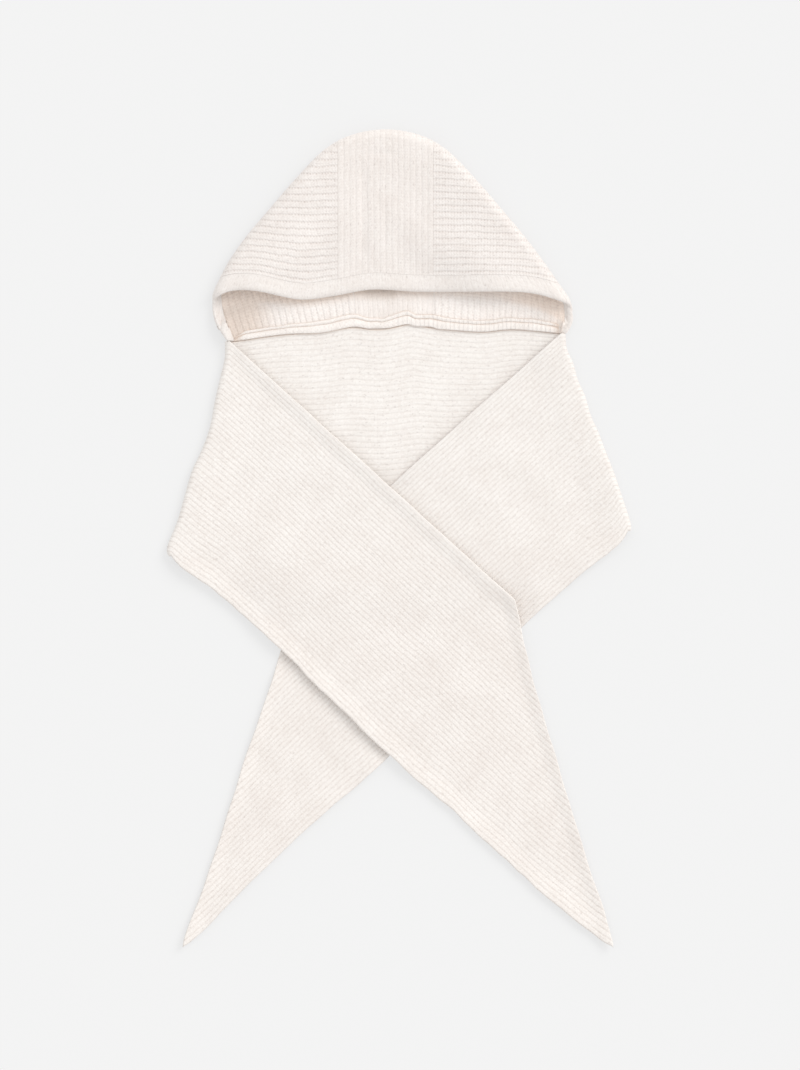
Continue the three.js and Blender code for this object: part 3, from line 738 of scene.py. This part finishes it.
class Net:
    """Adds nodes to a node tree and links them."""

    def __init__(self, tree):
        self.tree = tree

    def add(self, kind, given=(), **settings):
        """Outputs of a new node, whose given inputs are each linked to a socket or set to a value."""
        node = self.tree.nodes.new(kind)
        for name, value in settings.items():
            setattr(node, name, value)
        for key, value in dict(given).items():
            self.feed(node.inputs[key], value)
        return node.outputs

    def feed(self, socket, value):
        if isinstance(value, bpy.types.NodeSocket):
            self.tree.links.new(value, socket)
        else:
            socket.default_value = value

    def maths(self, operation, *values):
        return self.add("ShaderNodeMath", enumerate(values), operation=operation)[0]

    def step(self, value, start, end):
        """0 below start, 1 above end, and a smooth rise between them."""
        given = {"Value": value, "From Min": start, "From Max": end}
        return self.add("ShaderNodeMapRange", given, interpolation_type="SMOOTHSTEP")["Result"]

    def mixed(self, share, a, b, blend_type="MIX"):
        given = {0: share, 6: a, 7: b}
        return self.add("ShaderNodeMix", given, data_type="RGBA", blend_type=blend_type)[2]

    def noise(self, vector, scale, detail=2.0, rough=0.5):
        given = {"Vector": vector, "Scale": scale, "Detail": detail, "Roughness": rough}
        return self.add("ShaderNodeTexNoise", given)["Fac"]


def shared_group(name, inputs, outputs, build):
    """The shader node group of this name, built with named sockets if it isn't there yet."""
    if name in bpy.data.node_groups:
        return bpy.data.node_groups[name]
    tree = bpy.data.node_groups.new(name, "ShaderNodeTree")
    for label, value in inputs.items():
        kind = "Vector" if value is None else "Float" if isinstance(value, float) else "Color"
        socket = tree.interface.new_socket(label, in_out="INPUT", socket_type="NodeSocket" + kind)
        if value is not None:
            socket.default_value = value
    for label in outputs:
        kind = "Color" if label == "Color" else "Float"
        tree.interface.new_socket(label, in_out="OUTPUT", socket_type="NodeSocket" + kind)
    net = Net(tree)
    results = build(net, net.add("NodeGroupInput"))
    net.add("NodeGroupOutput", results)
    return tree


def stitch_group():
    """Columns of knit stitches on a UV map in metres, u along the ribs and v across them."""
    inputs = {
        "UV": None,
        "Rib Pitch": 0.006,
        "Stitch Length": 0.0036,
        "Rib Count": 1000.0,
        "Slant": 1.3,
        "Looseness": 0.6,
    }
    return shared_group("Knit stitches", inputs, ("Height", "Hole", "Crease", "Tone"), build_stitches)


def build_stitches(net, given):
    maths = net.maths
    place, loose = given["UV"], given["Looseness"]
    parts = net.add("ShaderNodeSeparateXYZ", {0: place})
    wobble = maths("SUBTRACT", net.noise(place, 120.0), 0.5)
    sway = maths("SUBTRACT", net.noise(place, 45.0, 1.0), 0.5)
    ribs = maths("DIVIDE", parts["Y"], given["Rib Pitch"])
    ribs = maths("MULTIPLY_ADD", maths("MULTIPLY", wobble, loose), 0.5, ribs)
    ribs = maths("MULTIPLY_ADD", maths("MULTIPLY", sway, loose), 0.83, ribs)
    along = maths("DIVIDE", parts["X"], given["Stitch Length"])
    along = maths("MULTIPLY_ADD", wobble, 0.8, along)
    before_last = maths("LESS_THAN", ribs, given["Rib Count"])
    ribbed = maths("MULTIPLY", maths("GREATER_THAN", ribs, 0.0), before_last)
    from_ridge = maths("ABSOLUTE", maths("SUBTRACT", maths("FRACT", ribs), 0.5))
    slanted = maths("MULTIPLY_ADD", from_ridge, given["Slant"], along)
    leg = maths("SINE", maths("MULTIPLY", maths("FRACT", slanted), math.pi))
    leg = maths("POWER", leg, 0.6)
    groove = maths("MULTIPLY", net.step(from_ridge, 0.24, 0.48), ribbed)
    middle = maths("SUBTRACT", 1.0, net.step(from_ridge, 0.0, 0.08))
    beat = maths("COSINE", maths("MULTIPLY", along, 2 * math.pi))
    beat = maths("POWER", maths("MULTIPLY_ADD", beat, 0.5, 0.5), 1.4)
    beat = maths("MULTIPLY", maths("SUBTRACT", 0.56, beat), loose)
    hole = maths("MULTIPLY", groove, maths("MULTIPLY_ADD", beat, -1.3, 0.56))
    uneven = net.noise(place, 240.0, 1.0)
    hole = maths("MULTIPLY", hole, maths("MULTIPLY_ADD", uneven, 1.8, 0.1))
    flat = maths("SUBTRACT", 1.0, groove)
    crease = maths("MULTIPLY", maths("SUBTRACT", 1.0, leg), flat)
    low = maths("SUBTRACT", 1.0, loose)
    height = maths("MULTIPLY", maths("MULTIPLY_ADD", leg, loose, low), flat)
    height = maths("MULTIPLY_ADD", middle, -0.2, height)
    half_rib = maths("FLOOR", maths("MULTIPLY", ribs, 2.0))
    cell = net.add("ShaderNodeCombineXYZ", {0: maths("FLOOR", slanted), 1: half_rib})[0]
    chance = net.add("ShaderNodeTexWhiteNoise", {"Vector": cell})["Value"]
    # Hole and Crease mark where the stitches get painted shade; Tone is each stitch's own random tone.
    return {"Height": height, "Hole": hole, "Crease": crease, "Tone": chance}


def melange_group():
    """Cream yarn spun with oatmeal and grey fibres, on the same UV map, with painted shade between the
    stitches.
    """
    inputs = {
        "UV": None,
        "Light": (0.9, 0.86, 0.82, 1),
        "Dark": (0.78, 0.72, 0.67, 1),
        "Fleck": (0.62, 0.58, 0.56, 1),
        "Groove shade": (0.6, 0.5, 0.44, 1),
        "Tone": 0.5,
        "Depth": 0.0,
    }
    return shared_group("Melange yarn", inputs, ("Color", "Fuzz", "Roughness"), build_melange)


def build_melange(net, given):
    maths, place = net.maths, given["UV"]
    fibre_shape = {0: place, 1: (0.45, 1.0, 1.0)}
    stretched = net.add("ShaderNodeVectorMath", fibre_shape, operation="MULTIPLY")[0]
    fibres = net.noise(stretched, 620.0, 3.0, 0.6)
    flecks = net.noise(stretched, 420.0, 2.0, 0.7)
    clouds = net.noise(place, 26.0, 2.0)
    share = maths("MULTIPLY_ADD", fibres, 1.5, -0.55)
    share = maths("MULTIPLY_ADD", given["Tone"], 0.3, share)
    share = maths("MULTIPLY_ADD", maths("SUBTRACT", clouds, 0.5), 0.9, share)
    share = maths("MINIMUM", maths("MAXIMUM", share, 0.0), 1.0)
    colour = net.mixed(share, given["Light"], given["Dark"])
    fleck = maths("MULTIPLY", net.step(flecks, 0.56, 0.72), 0.5)
    colour = net.mixed(fleck, colour, given["Fleck"])
    # Painted shade: the holes and creases between the stitches are painted towards the groove shade
    # colour.
    colour = net.mixed(given["Depth"], colour, given["Groove shade"])
    fuzz = net.noise(place, 1900.0, 3.0, 0.65)
    return {"Color": colour, "Fuzz": fuzz, "Roughness": maths("MULTIPLY_ADD", fibres, 0.2, 0.78)}


def knit_material(name, knit, pitch, ribs=1000.0):
    """The material of this name in KNITS, made if it isn't there yet."""
    if name in bpy.data.materials:
        return bpy.data.materials[name]
    hole, crease, relief, loose, slant, piece_shading = KNITS[name]
    material = bpy.data.materials.new(name)
    material.use_nodes = True
    material.node_tree.nodes.clear()
    net = Net(material.node_tree)
    place = net.add("ShaderNodeTexCoord")["UV"]
    painted = net.add("ShaderNodeAttribute", attribute_name="painted_shading")
    knitting = {
        "UV": place,
        "Rib Pitch": pitch,
        "Stitch Length": knit.stitch,
        "Rib Count": ribs,
        "Slant": slant,
        "Looseness": loose,
    }
    stitches = net.add("ShaderNodeGroup", knitting, node_tree=stitch_group())
    # Painted shade in the holes and creases between the stitches; the mesh's painted alpha weakens it.
    depth = net.maths("MULTIPLY", stitches["Hole"], hole)
    depth = net.maths("MULTIPLY_ADD", stitches["Crease"], crease, depth)
    depth = net.maths("MULTIPLY", depth, painted["Alpha"])
    spinning = {"UV": place, "Tone": stitches["Tone"], "Depth": depth}
    # The yarn's colours times this piece's factors, which paint each piece of the one yarn lighter or
    # darker: painted light and shade.
    for label, colour in (
        ("Light", knit.yarn_light),
        ("Dark", knit.yarn_dark),
        ("Fleck", knit.fleck),
        ("Groove shade", knit.groove_shade),
    ):
        spinning[label] = (*(c * t for c, t in zip(colour, piece_shading)), 1)
    yarn = net.add("ShaderNodeGroup", spinning, node_tree=melange_group())
    raised = {"Height": stitches["Height"], "Distance": relief, "Strength": 0.7}
    raised = net.add("ShaderNodeBump", raised)["Normal"]
    hairy = {"Height": yarn["Fuzz"], "Distance": 0.0004, "Strength": 0.35, "Normal": raised}
    # The mesh's painted light and shade multiply the yarn's colour.
    surface = {
        "Base Color": net.mixed(1.0, yarn["Color"], painted["Color"], "MULTIPLY"),
        "Roughness": yarn["Roughness"],
        "Specular IOR Level": 0.25,
        "Sheen Weight": 0.5,
        "Sheen Roughness": 0.5,
        "Sheen Tint": (1.0, 0.97, 0.94, 1),
        "Normal": net.add("ShaderNodeBump", hairy)["Normal"],
    }
    cloth = net.add("ShaderNodeBsdfPrincipled", surface)[0]
    net.add("ShaderNodeOutputMaterial", {0: cloth})
    return material


# Operators

# Dents where the crown strip has settled, in metres: the coordinate along which each runs (0 for x,
# 1 for y), where it comes in and where it fades out, its middle and half width across, its depth.
DENTS = [
    (1, (0.085, 0.11), (0.19, 0.21), -0.041, 0.005, 0.0012),
    (1, (0.1, 0.12), (0.15, 0.165), -0.0155, 0.005, 0.00084),
    (0, (-0.045, -0.03), (-0.01, 0.005), 0.2205, 0.004, 0.0007),
]
POINTS_PER_RIB = 8  # across the hood's ribs
# Painted shade: low on the neck seam, on the scarf's back along the seam, and on the scarf's lower part,
# which is painted slightly darker and warmer.
SEAM_SHADE = (0.82, 0.73, 0.665)  # tone low on the neck seam
CREASE_SHADE = (1.0, 0.93, 0.88)  # tone of the scarf's back along the neck seam
LOWER_SHADE = (0.986, 0.978, 0.974)  # tone of the scarf's lower part


def hood_wall(hood, knit, node, material, middle, ribs, relief, inner):
    """Knits a wall of the hood round its middle points, in the place of its node."""
    pitch = hood.s.crown_width / hood.s.crown_ribs
    edge = np.ones(middle.shape[:2])
    obj = knitted_wall(node + "_knit", middle, ribs, relief, inner, edge, pitch, knit)
    paint_inner_shading(obj, hood, knit)
    return dress(obj, node, knit_material(material, knit, pitch))


class SNOOD_OT_crown_strip(bpy.types.Operator):
    """Knits the centre strip, from the band over the crown and down the back to the neck"""

    bl_idname = "snood.crown_strip"
    bl_label = "Crown strip"

    def execute(self, context):
        knit, hood, _ = garment(context)
        s = hood.s
        share = np.linspace(0, 1, s.crown_ribs * POINTS_PER_RIB + 1)
        x = blend(hood.crown_left + hood.sewn / 2, hood.crown_right - hood.sewn / 2, share)
        start = hood.opening_line(x) + s.band_width + hood.sewn
        foot_x = blend(-s.nape_width / 2, s.nape_width / 2, share) + float(hood.lean(0))
        foot = pairs(foot_x, hood.neck_line(foot_x) + hood.sewn)

        def outward(length):
            sway = 0.0005 * ripple(x, start + length, 0.09, 3)
            return pairs(x + sway * np.sin(math.pi * share), start + length)

        middle = hood.round_fold(outward, foot, s.height, 0.0, 70, 60)
        ribs = np.broadcast_to(share * s.crown_ribs, middle.shape[:2])
        drop = np.zeros(middle.shape[:2])
        for way, coming, fading, centre, half_width, depth in DENTS:
            along, over = middle[..., way], middle[..., 1 - way]
            shape = np.exp(-(((over - centre) / half_width) ** 2))
            drop += depth * shape * ease(along, *coming) * (1 - ease(along, *fading))
        on_top = middle[..., 2] > hood.half_cloth + s.fold_radius
        middle[..., 2] -= np.where(on_top, drop, 0)
        run = run_lengths(middle)
        relief = np.broadcast_to(knit.groove * (1 - ridge(ribs)), run.shape)
        inner = knit.groove * 0.8 * (1 - ridge(ribs + 0.5))
        obj = hood_wall(hood, knit, "crown_strip", "Strip knit", middle, ribs, relief, inner)
        cloth_area(middle)
        return {"FINISHED"}


class SNOOD_OT_side_panels(bpy.types.Operator):
    """Knits both sides of the hood, whose ribs run from the strip round the side fold to the neck"""

    bl_idname = "snood.side_panels"
    bl_label = "Side panels"

    def execute(self, context):
        knit, hood, _ = garment(context)
        s = hood.s
        # The ribs near the crown fall by this share of their length on the left and on the right.
        for side, node, fall in ((-1, "side_panel_left", 0.035), (1, "side_panel_right", 0.07)):
            up = np.linspace(0, 1, s.side_ribs * POINTS_PER_RIB + 1)
            start_x = hood.side_start(side)
            start_line = hood.opening_line(np.array([start_x]))

            def rising(length):
                return pairs(np.full(1, start_x), s.opening_rise + length)

            highest = float(hood.to_fold(rising, 1, s.height)[0]) + s.opening_rise - 0.0006
            lowest = float(start_line[0]) + s.band_width + hood.sewn

            def outward(length):
                x = start_x + side * length
                wave = hood.opening_line(x) - start_line
                y = blend(lowest, highest, up) + wave * (1 - up) ** 2 - fall * length * up
                sway = 0.0007 * ripple(x, y, 0.11, 11 + side) * np.sin(math.pi * up)
                return pairs(x, y + sway * ease(length, 0, 0.01))

            nape = s.nape_width / 2 + hood.sewn + side * float(hood.lean(0))
            reach = blend(hood.band_inner - 2 * hood.sewn, nape, up)
            foot = pairs(side * reach, hood.neck_line(side * reach) + hood.sewn)
            bow = s.band_bow * (1 - up) ** 4
            middle = hood.round_fold(outward, foot, 2 * s.half_width, bow, 60, 60)
            ribs = np.broadcast_to(up * s.side_ribs + 0.5, middle.shape[:2])
            run = run_lengths(middle)
            relief = knit.groove * (1 - ridge(ribs)) * ease(run, 0.001, 0.006)
            inner = knit.groove * (1 - ridge(ribs + 0.5))
            obj = hood_wall(hood, knit, node, "Hood knit", middle, ribs, relief, inner)
            length, area = float(run[-1].max()), cloth_area(middle)
        return {"FINISHED"}


class SNOOD_OT_front_band(bpy.types.Operator):
    """Rolls the band round the face opening, from one neck corner to the other"""

    bl_idname = "snood.front_band"
    bl_label = "Front band"

    def execute(self, context):
        knit, hood, _ = garment(context)
        s = hood.s
        # Across and up for each point round the roll: from the sewn edge over the top to the free
        # edge and back below. The free edge is round, the sewn one as thick as the cloth.
        angle = np.linspace(0, math.pi, 15)
        from_free = 0.5 - 0.5 * np.sign(np.cos(angle)) * np.abs(np.cos(angle)) ** 0.7
        free_edge = np.sqrt(1 - (1 - clamp(from_free / 0.28)) ** 2)
        sewn_edge = np.sqrt(1 - 0.4 * clamp((from_free - 0.985) / 0.015) ** 2)
        height = free_edge * sewn_edge
        across = np.concatenate([from_free[::-1], from_free[1:], from_free[-1:]])
        lift = np.concatenate([height[::-1], -height[1:], height[-1:]])
        levels = np.linspace(0, 1, 15)
        centre = len(levels) // 2
        top_rows, foot_rows = 60, 34
        below_fold = top_rows + 2  # first row past the fold
        first, last = below_fold - 15, below_fold + 23  # rows that are smoothed round it

        def half(side):
            out = s.band_foot_left if side < 0 else s.band_foot_right
            reach = blend(s.neck_half_width - hood.half_cloth + out, hood.band_inner, levels)
            foot = pairs(side * reach, hood.neck_line(side * reach) + 2 * hood.sewn)

            def outward(length):
                x = hood.side_start(side) + side * length
                return pairs(x, hood.opening_line(x) + levels * s.band_width)

            longest = 2 * s.half_width
            grid = hood.round_fold(outward, foot, longest, s.band_bow, top_rows, foot_rows)[1:]
            if side > 0:
                # The right foot lies flat.
                lower = np.linspace(0, 1, len(grid) - below_fold)[:, None]
                flat = np.minimum(grid[below_fold:, :, 2], 0.0055)
                grid[below_fold:, :, 2] = blend(grid[below_fold:, :, 2], flat, ease(lower, 0, 0.35))
            # The free edge rolls softly round the fold. The sewn edge stays where the panel is.
            soft = (1 - levels)[None, :, None] ** 0.7
            for _ in range(14):
                before, after = grid[first - 1 : last - 1], grid[first + 1 : last + 1]
                nearby = (before + 2 * grid[first:last] + after) / 4
                grid[first:last] = blend(grid[first:last], nearby, soft)
            return grid

        x = np.linspace(hood.crown_left, hood.crown_right, 26)[1:-1, None] + 0 * levels
        plan = np.dstack([x, hood.opening_line(x) + levels * s.band_width])
        middle = np.concatenate([half(-1)[::-1], hood.place(plan, 1), half(1)])
        normal = normals_of(middle)
        if normal[len(middle) // 2, centre, 2] < 0:
            normal = -normal
        run = run_lengths(middle)[:, centre]
        ends = both_rounded(run, run[-1], 0.0008, 0.6)

        def round_roll(rows):
            return np.stack([np.interp(across, levels, rows[:, k]) for k in range(3)], axis=1)

        # The roll is fuller towards its free edge, and a little uneven along its length.
        uneven = 1 + 0.08 * np.sin(run * 95) * np.sin(run * 41)
        full = blend(0.0031 * uneven[:, None], hood.half_cloth, ease(across, 0.35, 1.0))
        spots = np.array([round_roll(rows) for rows in middle])
        facing = np.array([round_roll(rows) for rows in normal])
        rings = spots + facing * (lift * full * ends[:, None])[..., None]
        rings[..., 2] = np.maximum(rings[..., 2], 0.0)
        girth = np.linalg.norm(np.diff(rings[len(rings) // 2], axis=0), axis=1)
        u = np.broadcast_to(np.concatenate([[0], np.cumsum(girth)]), rings.shape[:2])
        v = np.broadcast_to(run[:, None], rings.shape[:2])
        obj = knitted_tube("front_band_roll", rings, u, v)
        dress(obj, "front_band", knit_material("Band knit", knit, BAND_PITCH))
        return {"FINISHED"}


class SNOOD_OT_neck_seam(bpy.types.Operator):
    """Raises the two bound edges of the neck seam"""

    bl_idname = "snood.neck_seam"
    bl_label = "Neck seam"

    def execute(self, context):
        knit, hood, _ = garment(context)
        s = hood.s
        section = smooth_line(SEAM_SECTION + SEAM_SECTION[:1], 3)
        reach = s.neck_half_width - hood.half_cloth - s.band_foot - 2 * hood.sewn
        x = np.linspace(-reach, reach, 320)
        taper = 0.35 + 0.65 * ease(reach - np.abs(x), 0, 0.02)
        place, share, rise = zip(*SEAM_RUN)
        y0 = hood.neck_line(x) + read_table(list(zip(place, rise)), x)
        width = s.seam_width * read_table(list(zip(place, share)), x)
        width = width * (1 + 0.04 * ripple(x, 0 * x, 0.03, 21))
        height = s.seam_height * taper * (1 + 0.12 * ripple(x, 0 * x, 0.04, 23))
        fine = 0.05 * np.sin(2 * math.pi * x / SEAM_PITCH)
        base = knit.thickness + hood.sewn
        back, up = section.T
        rings = np.empty((len(x), len(section), 3))
        rings[..., 0] = x[:, None]
        rings[..., 1] = y0[:, None] + back * width[:, None]
        rings[..., 2] = base + np.maximum(up, 0) * (height * (1 + fine))[:, None]
        u = np.broadcast_to(np.linspace(0, 2 * s.seam_width, len(section)), rings.shape[:2])
        v = np.broadcast_to(x[:, None], rings.shape[:2])
        obj = knitted_tube("neck_seam_roll", rings, u, v)
        # Painted shade low on the seam, fading out higher up where light falls on it.
        lit = ease((points_of(obj)[:, 2] - base) / s.seam_height, 0.2, 0.75)[:, None]
        paint(obj, np.column_stack([blend(np.array(SEAM_SHADE), 1.0, lit), np.ones(len(lit))]))
        dress(obj, "neck_seam", knit_material("Seam knit", knit, SEAM_PITCH))
        return {"FINISHED"}


class SNOOD_OT_scarf(bpy.types.Operator):
    """Knits the long scarf, folded at both sides, with its ends crossed"""

    bl_idname = "snood.scarf"
    bl_label = "Scarf"

    def execute(self, context):
        knit, hood, scarf = garment(context)
        s = scarf.s
        width = float(np.linalg.norm(scarf.left["hem"] - scarf.left["neck"]))
        plain = s.selvedge / width
        # The plain edges count as ribs too: they are below 0 and above the number of ribs.
        lead, trail = -1.6, s.ribs + 0.6
        ribs = np.concatenate(
            [
                np.linspace(lead, 0, 7)[:-1],
                np.linspace(0, s.ribs, s.ribs * 4 + 1),
                np.linspace(s.ribs, trail, 4)[1:],
            ]
        )
        across = np.interp(ribs, [lead, 0, s.ribs, trail], [0, plain, 1 - 0.08 * plain, 1])[None, :]
        along = np.concatenate([np.linspace(0, 0.994, 74), [0.9975, 1.0]])[:, None]
        left = scarf.end(scarf.left, along, across, [scarf.back_region, scarf.right_region], 2)
        right = scarf.end(scarf.right, along, across, [scarf.back_region], 5, scarf.left_region)
        turns = np.linspace(0, 1, 11)[1:-1][:, None]
        back_plan = scarf.back(np.linspace(0, 1, 56)[:, None], across)
        back = np.dstack([back_plan, np.full(back_plan.shape[:2], scarf.half_cloth)])
        left_fold = scarf.fold(scarf.left, turns[::-1], across)
        right_fold = scarf.fold(scarf.right, turns, across)
        middle = np.concatenate([left[::-1], left_fold, back, right_fold, right])
        ribs = np.broadcast_to(ribs, middle.shape[:2])
        run = run_lengths(middle)
        edge = both_rounded(across * width, width, 0.0014, 0.4)
        edge = edge * both_rounded(run, run[-1], 0.0014, 0.4)
        # The ribs are pulled flat where the cloth turns round the folds.
        first = len(left) + len(turns) // 2
        last = len(middle) - len(right) - len(turns) // 2 - 1
        to_fold = np.minimum(np.abs(run - run[first]), np.abs(run - run[last]))
        ribbed = (ribs > 0) & (ribs < s.ribs)
        depth = np.where(ribbed, knit.fine_groove * ease(to_fold, 0.006, 0.022), 0.0)
        relief, inner = depth * (1 - ridge(ribs)), depth * (1 - ridge(ribs + 0.5))
        # The stitches lie square to the ribs in each part: in both ends and in the back.
        length = middle[..., 0].copy()
        for end, rows in ((scarf.left, slice(0, first)), (scarf.right, slice(last + 1, None))):
            length[rows] = (end["hem"] - middle[rows, :, :2]) @ end["home"]
        pitch = SCARF_PITCH
        obj = knitted_wall("scarf_knit", middle, ribs, relief, inner, edge, pitch, knit, length)
        # The stitches' painted shade is half as strong on the back, its edge gets painted shade along the
        # neck seam, and the scarf is painted slightly darker and warmer towards its lower part.
        lying = np.zeros(middle.shape[:2])
        lying[len(left) + len(turns) : len(middle) - len(right) - len(turns)] = 1
        shaded = (lying * (1 - ease(across * width, 0.0006, 0.003)))[..., None]
        lower = ease(-middle[..., 1], 0.1, 0.4)[..., None]
        painted_shading = blend(1.0, np.array(CREASE_SHADE), shaded) * blend(1.0, np.array(LOWER_SHADE), lower)
        painted_shading = np.dstack([painted_shading, blend(1.0, 0.5, lying)])
        if runs_backwards(middle):
            painted_shading = painted_shading[:, ::-1]
        paint(obj, np.tile(painted_shading.reshape(-1, 4), (2, 1)))
        material = knit_material("Scarf knit", knit, pitch, float(s.ribs))
        dress(obj, "scarf", material)
        area = cloth_area(middle)
        return {"FINISHED"}


# Stage, in metres

FLOOR_SIZE = 30
FLOOR_GAP = 0.0003  # the floor lies this far below the cloth
KEY_TOWARDS = (-0.70, -0.66, -0.72)
KEY_COLOUR = (1.0, 0.985, 0.965)
ROOM_COLOUR = (0.994, 0.998, 1.0, 1)
CAMERA_OVER = (-0.0011, 0.0034)  # the point on the floor in the middle of the picture
SENSOR = 36  # width of the camera's sensor, in millimetres


class SNOOD_OT_stage(bpy.types.Operator):
    """Sets up the floor, the light and the camera straight above"""

    bl_idname = "snood.stage"
    bl_label = "Stage"

    def execute(self, context):
        looks = context.scene.snood_studio
        bpy.ops.object.select_all(action="DESELECT")
        bpy.ops.mesh.primitive_plane_add(size=FLOOR_SIZE, location=(0, 0, -FLOOR_GAP))
        floor = context.object
        floor.name = "studio_floor"
        paint = bpy.data.materials.new("Studio floor")
        paint.use_nodes = True
        matt = paint.node_tree.nodes["Principled BSDF"].inputs
        matt["Base Color"].default_value = (*looks.floor, 1)
        matt["Roughness"].default_value = 1.0
        matt["Specular IOR Level"].default_value = 0.0
        matt["Emission Color"].default_value = (1, 1, 1, 1)
        matt["Emission Strength"].default_value = looks.floor_glow
        floor.data.materials.append(paint)
        bpy.ops.object.light_add(type="SUN", location=(2, 2, 3))
        key = context.object
        key.name = "soft_key"
        key.data.energy = looks.key
        key.data.angle = looks.key_softness
        key.rotation_euler = Vector(KEY_TOWARDS).to_track_quat("-Z", "Y").to_euler()
        key.data.color = KEY_COLOUR
        world = bpy.data.worlds.new("White room")
        context.scene.world = world
        world.use_nodes = True
        air = world.node_tree.nodes["Background"].inputs
        air["Color"].default_value = ROOM_COLOUR
        air["Strength"].default_value = looks.surround
        place = (*CAMERA_OVER, looks.camera_height)
        bpy.ops.object.camera_add(location=place, rotation=(0, 0, 0))
        camera = context.object
        camera.name = "camera_above"
        camera.data.sensor_width = SENSOR
        camera.data.lens = SENSOR * looks.camera_height / looks.field_height
        camera.data.clip_end = 100
        camera.data.dof.use_dof = False
        context.scene.camera = camera
        context.scene.view_settings.view_transform = "Standard"
        return {"FINISHED"}


class SNOOD_PT_panel(bpy.types.Panel):
    """Lists the pieces in the 3D view's sidebar"""

    bl_label = "Snood hood"
    bl_idname = "SNOOD_PT_panel"
    bl_space_type = "VIEW_3D"
    bl_region_type = "UI"
    bl_category = "Snood hood"

    def draw(self, context):
        for operator in OPERATORS:
            self.layout.operator(operator.bl_idname)
        for group in ("snood_hood", "snood_scarf", "snood_knit", "snood_studio"):
            box = self.layout.box()
            sizes = getattr(context.scene, group)
            for name in sizes.__annotations__:
                box.prop(sizes, name)


OPERATORS = (
    SNOOD_OT_crown_strip,
    SNOOD_OT_side_panels,
    SNOOD_OT_front_band,
    SNOOD_OT_neck_seam,
    SNOOD_OT_scarf,
    SNOOD_OT_stage,
)
GROUPS = {
    "snood_hood": HoodSizes,
    "snood_scarf": ScarfSizes,
    "snood_knit": KnitLooks,
    "snood_studio": StudioLooks,
}


def register():
    for cls in (*GROUPS.values(), *OPERATORS, SNOOD_PT_panel):
        bpy.utils.register_class(cls)
    for name, cls in GROUPS.items():
        setattr(bpy.types.Scene, name, bpy.props.PointerProperty(type=cls))


def unregister():
    for name in GROUPS:
        delattr(bpy.types.Scene, name)
    for cls in reversed((*GROUPS.values(), *OPERATORS, SNOOD_PT_panel)):
        bpy.utils.unregister_class(cls)


def main():
    register()
    bpy.ops.snood.crown_strip()
    bpy.ops.snood.side_panels()
    bpy.ops.snood.front_band()
    bpy.ops.snood.neck_seam()
    bpy.ops.snood.scarf()
    bpy.ops.snood.stage()


if __name__ == "__main__":
    main()
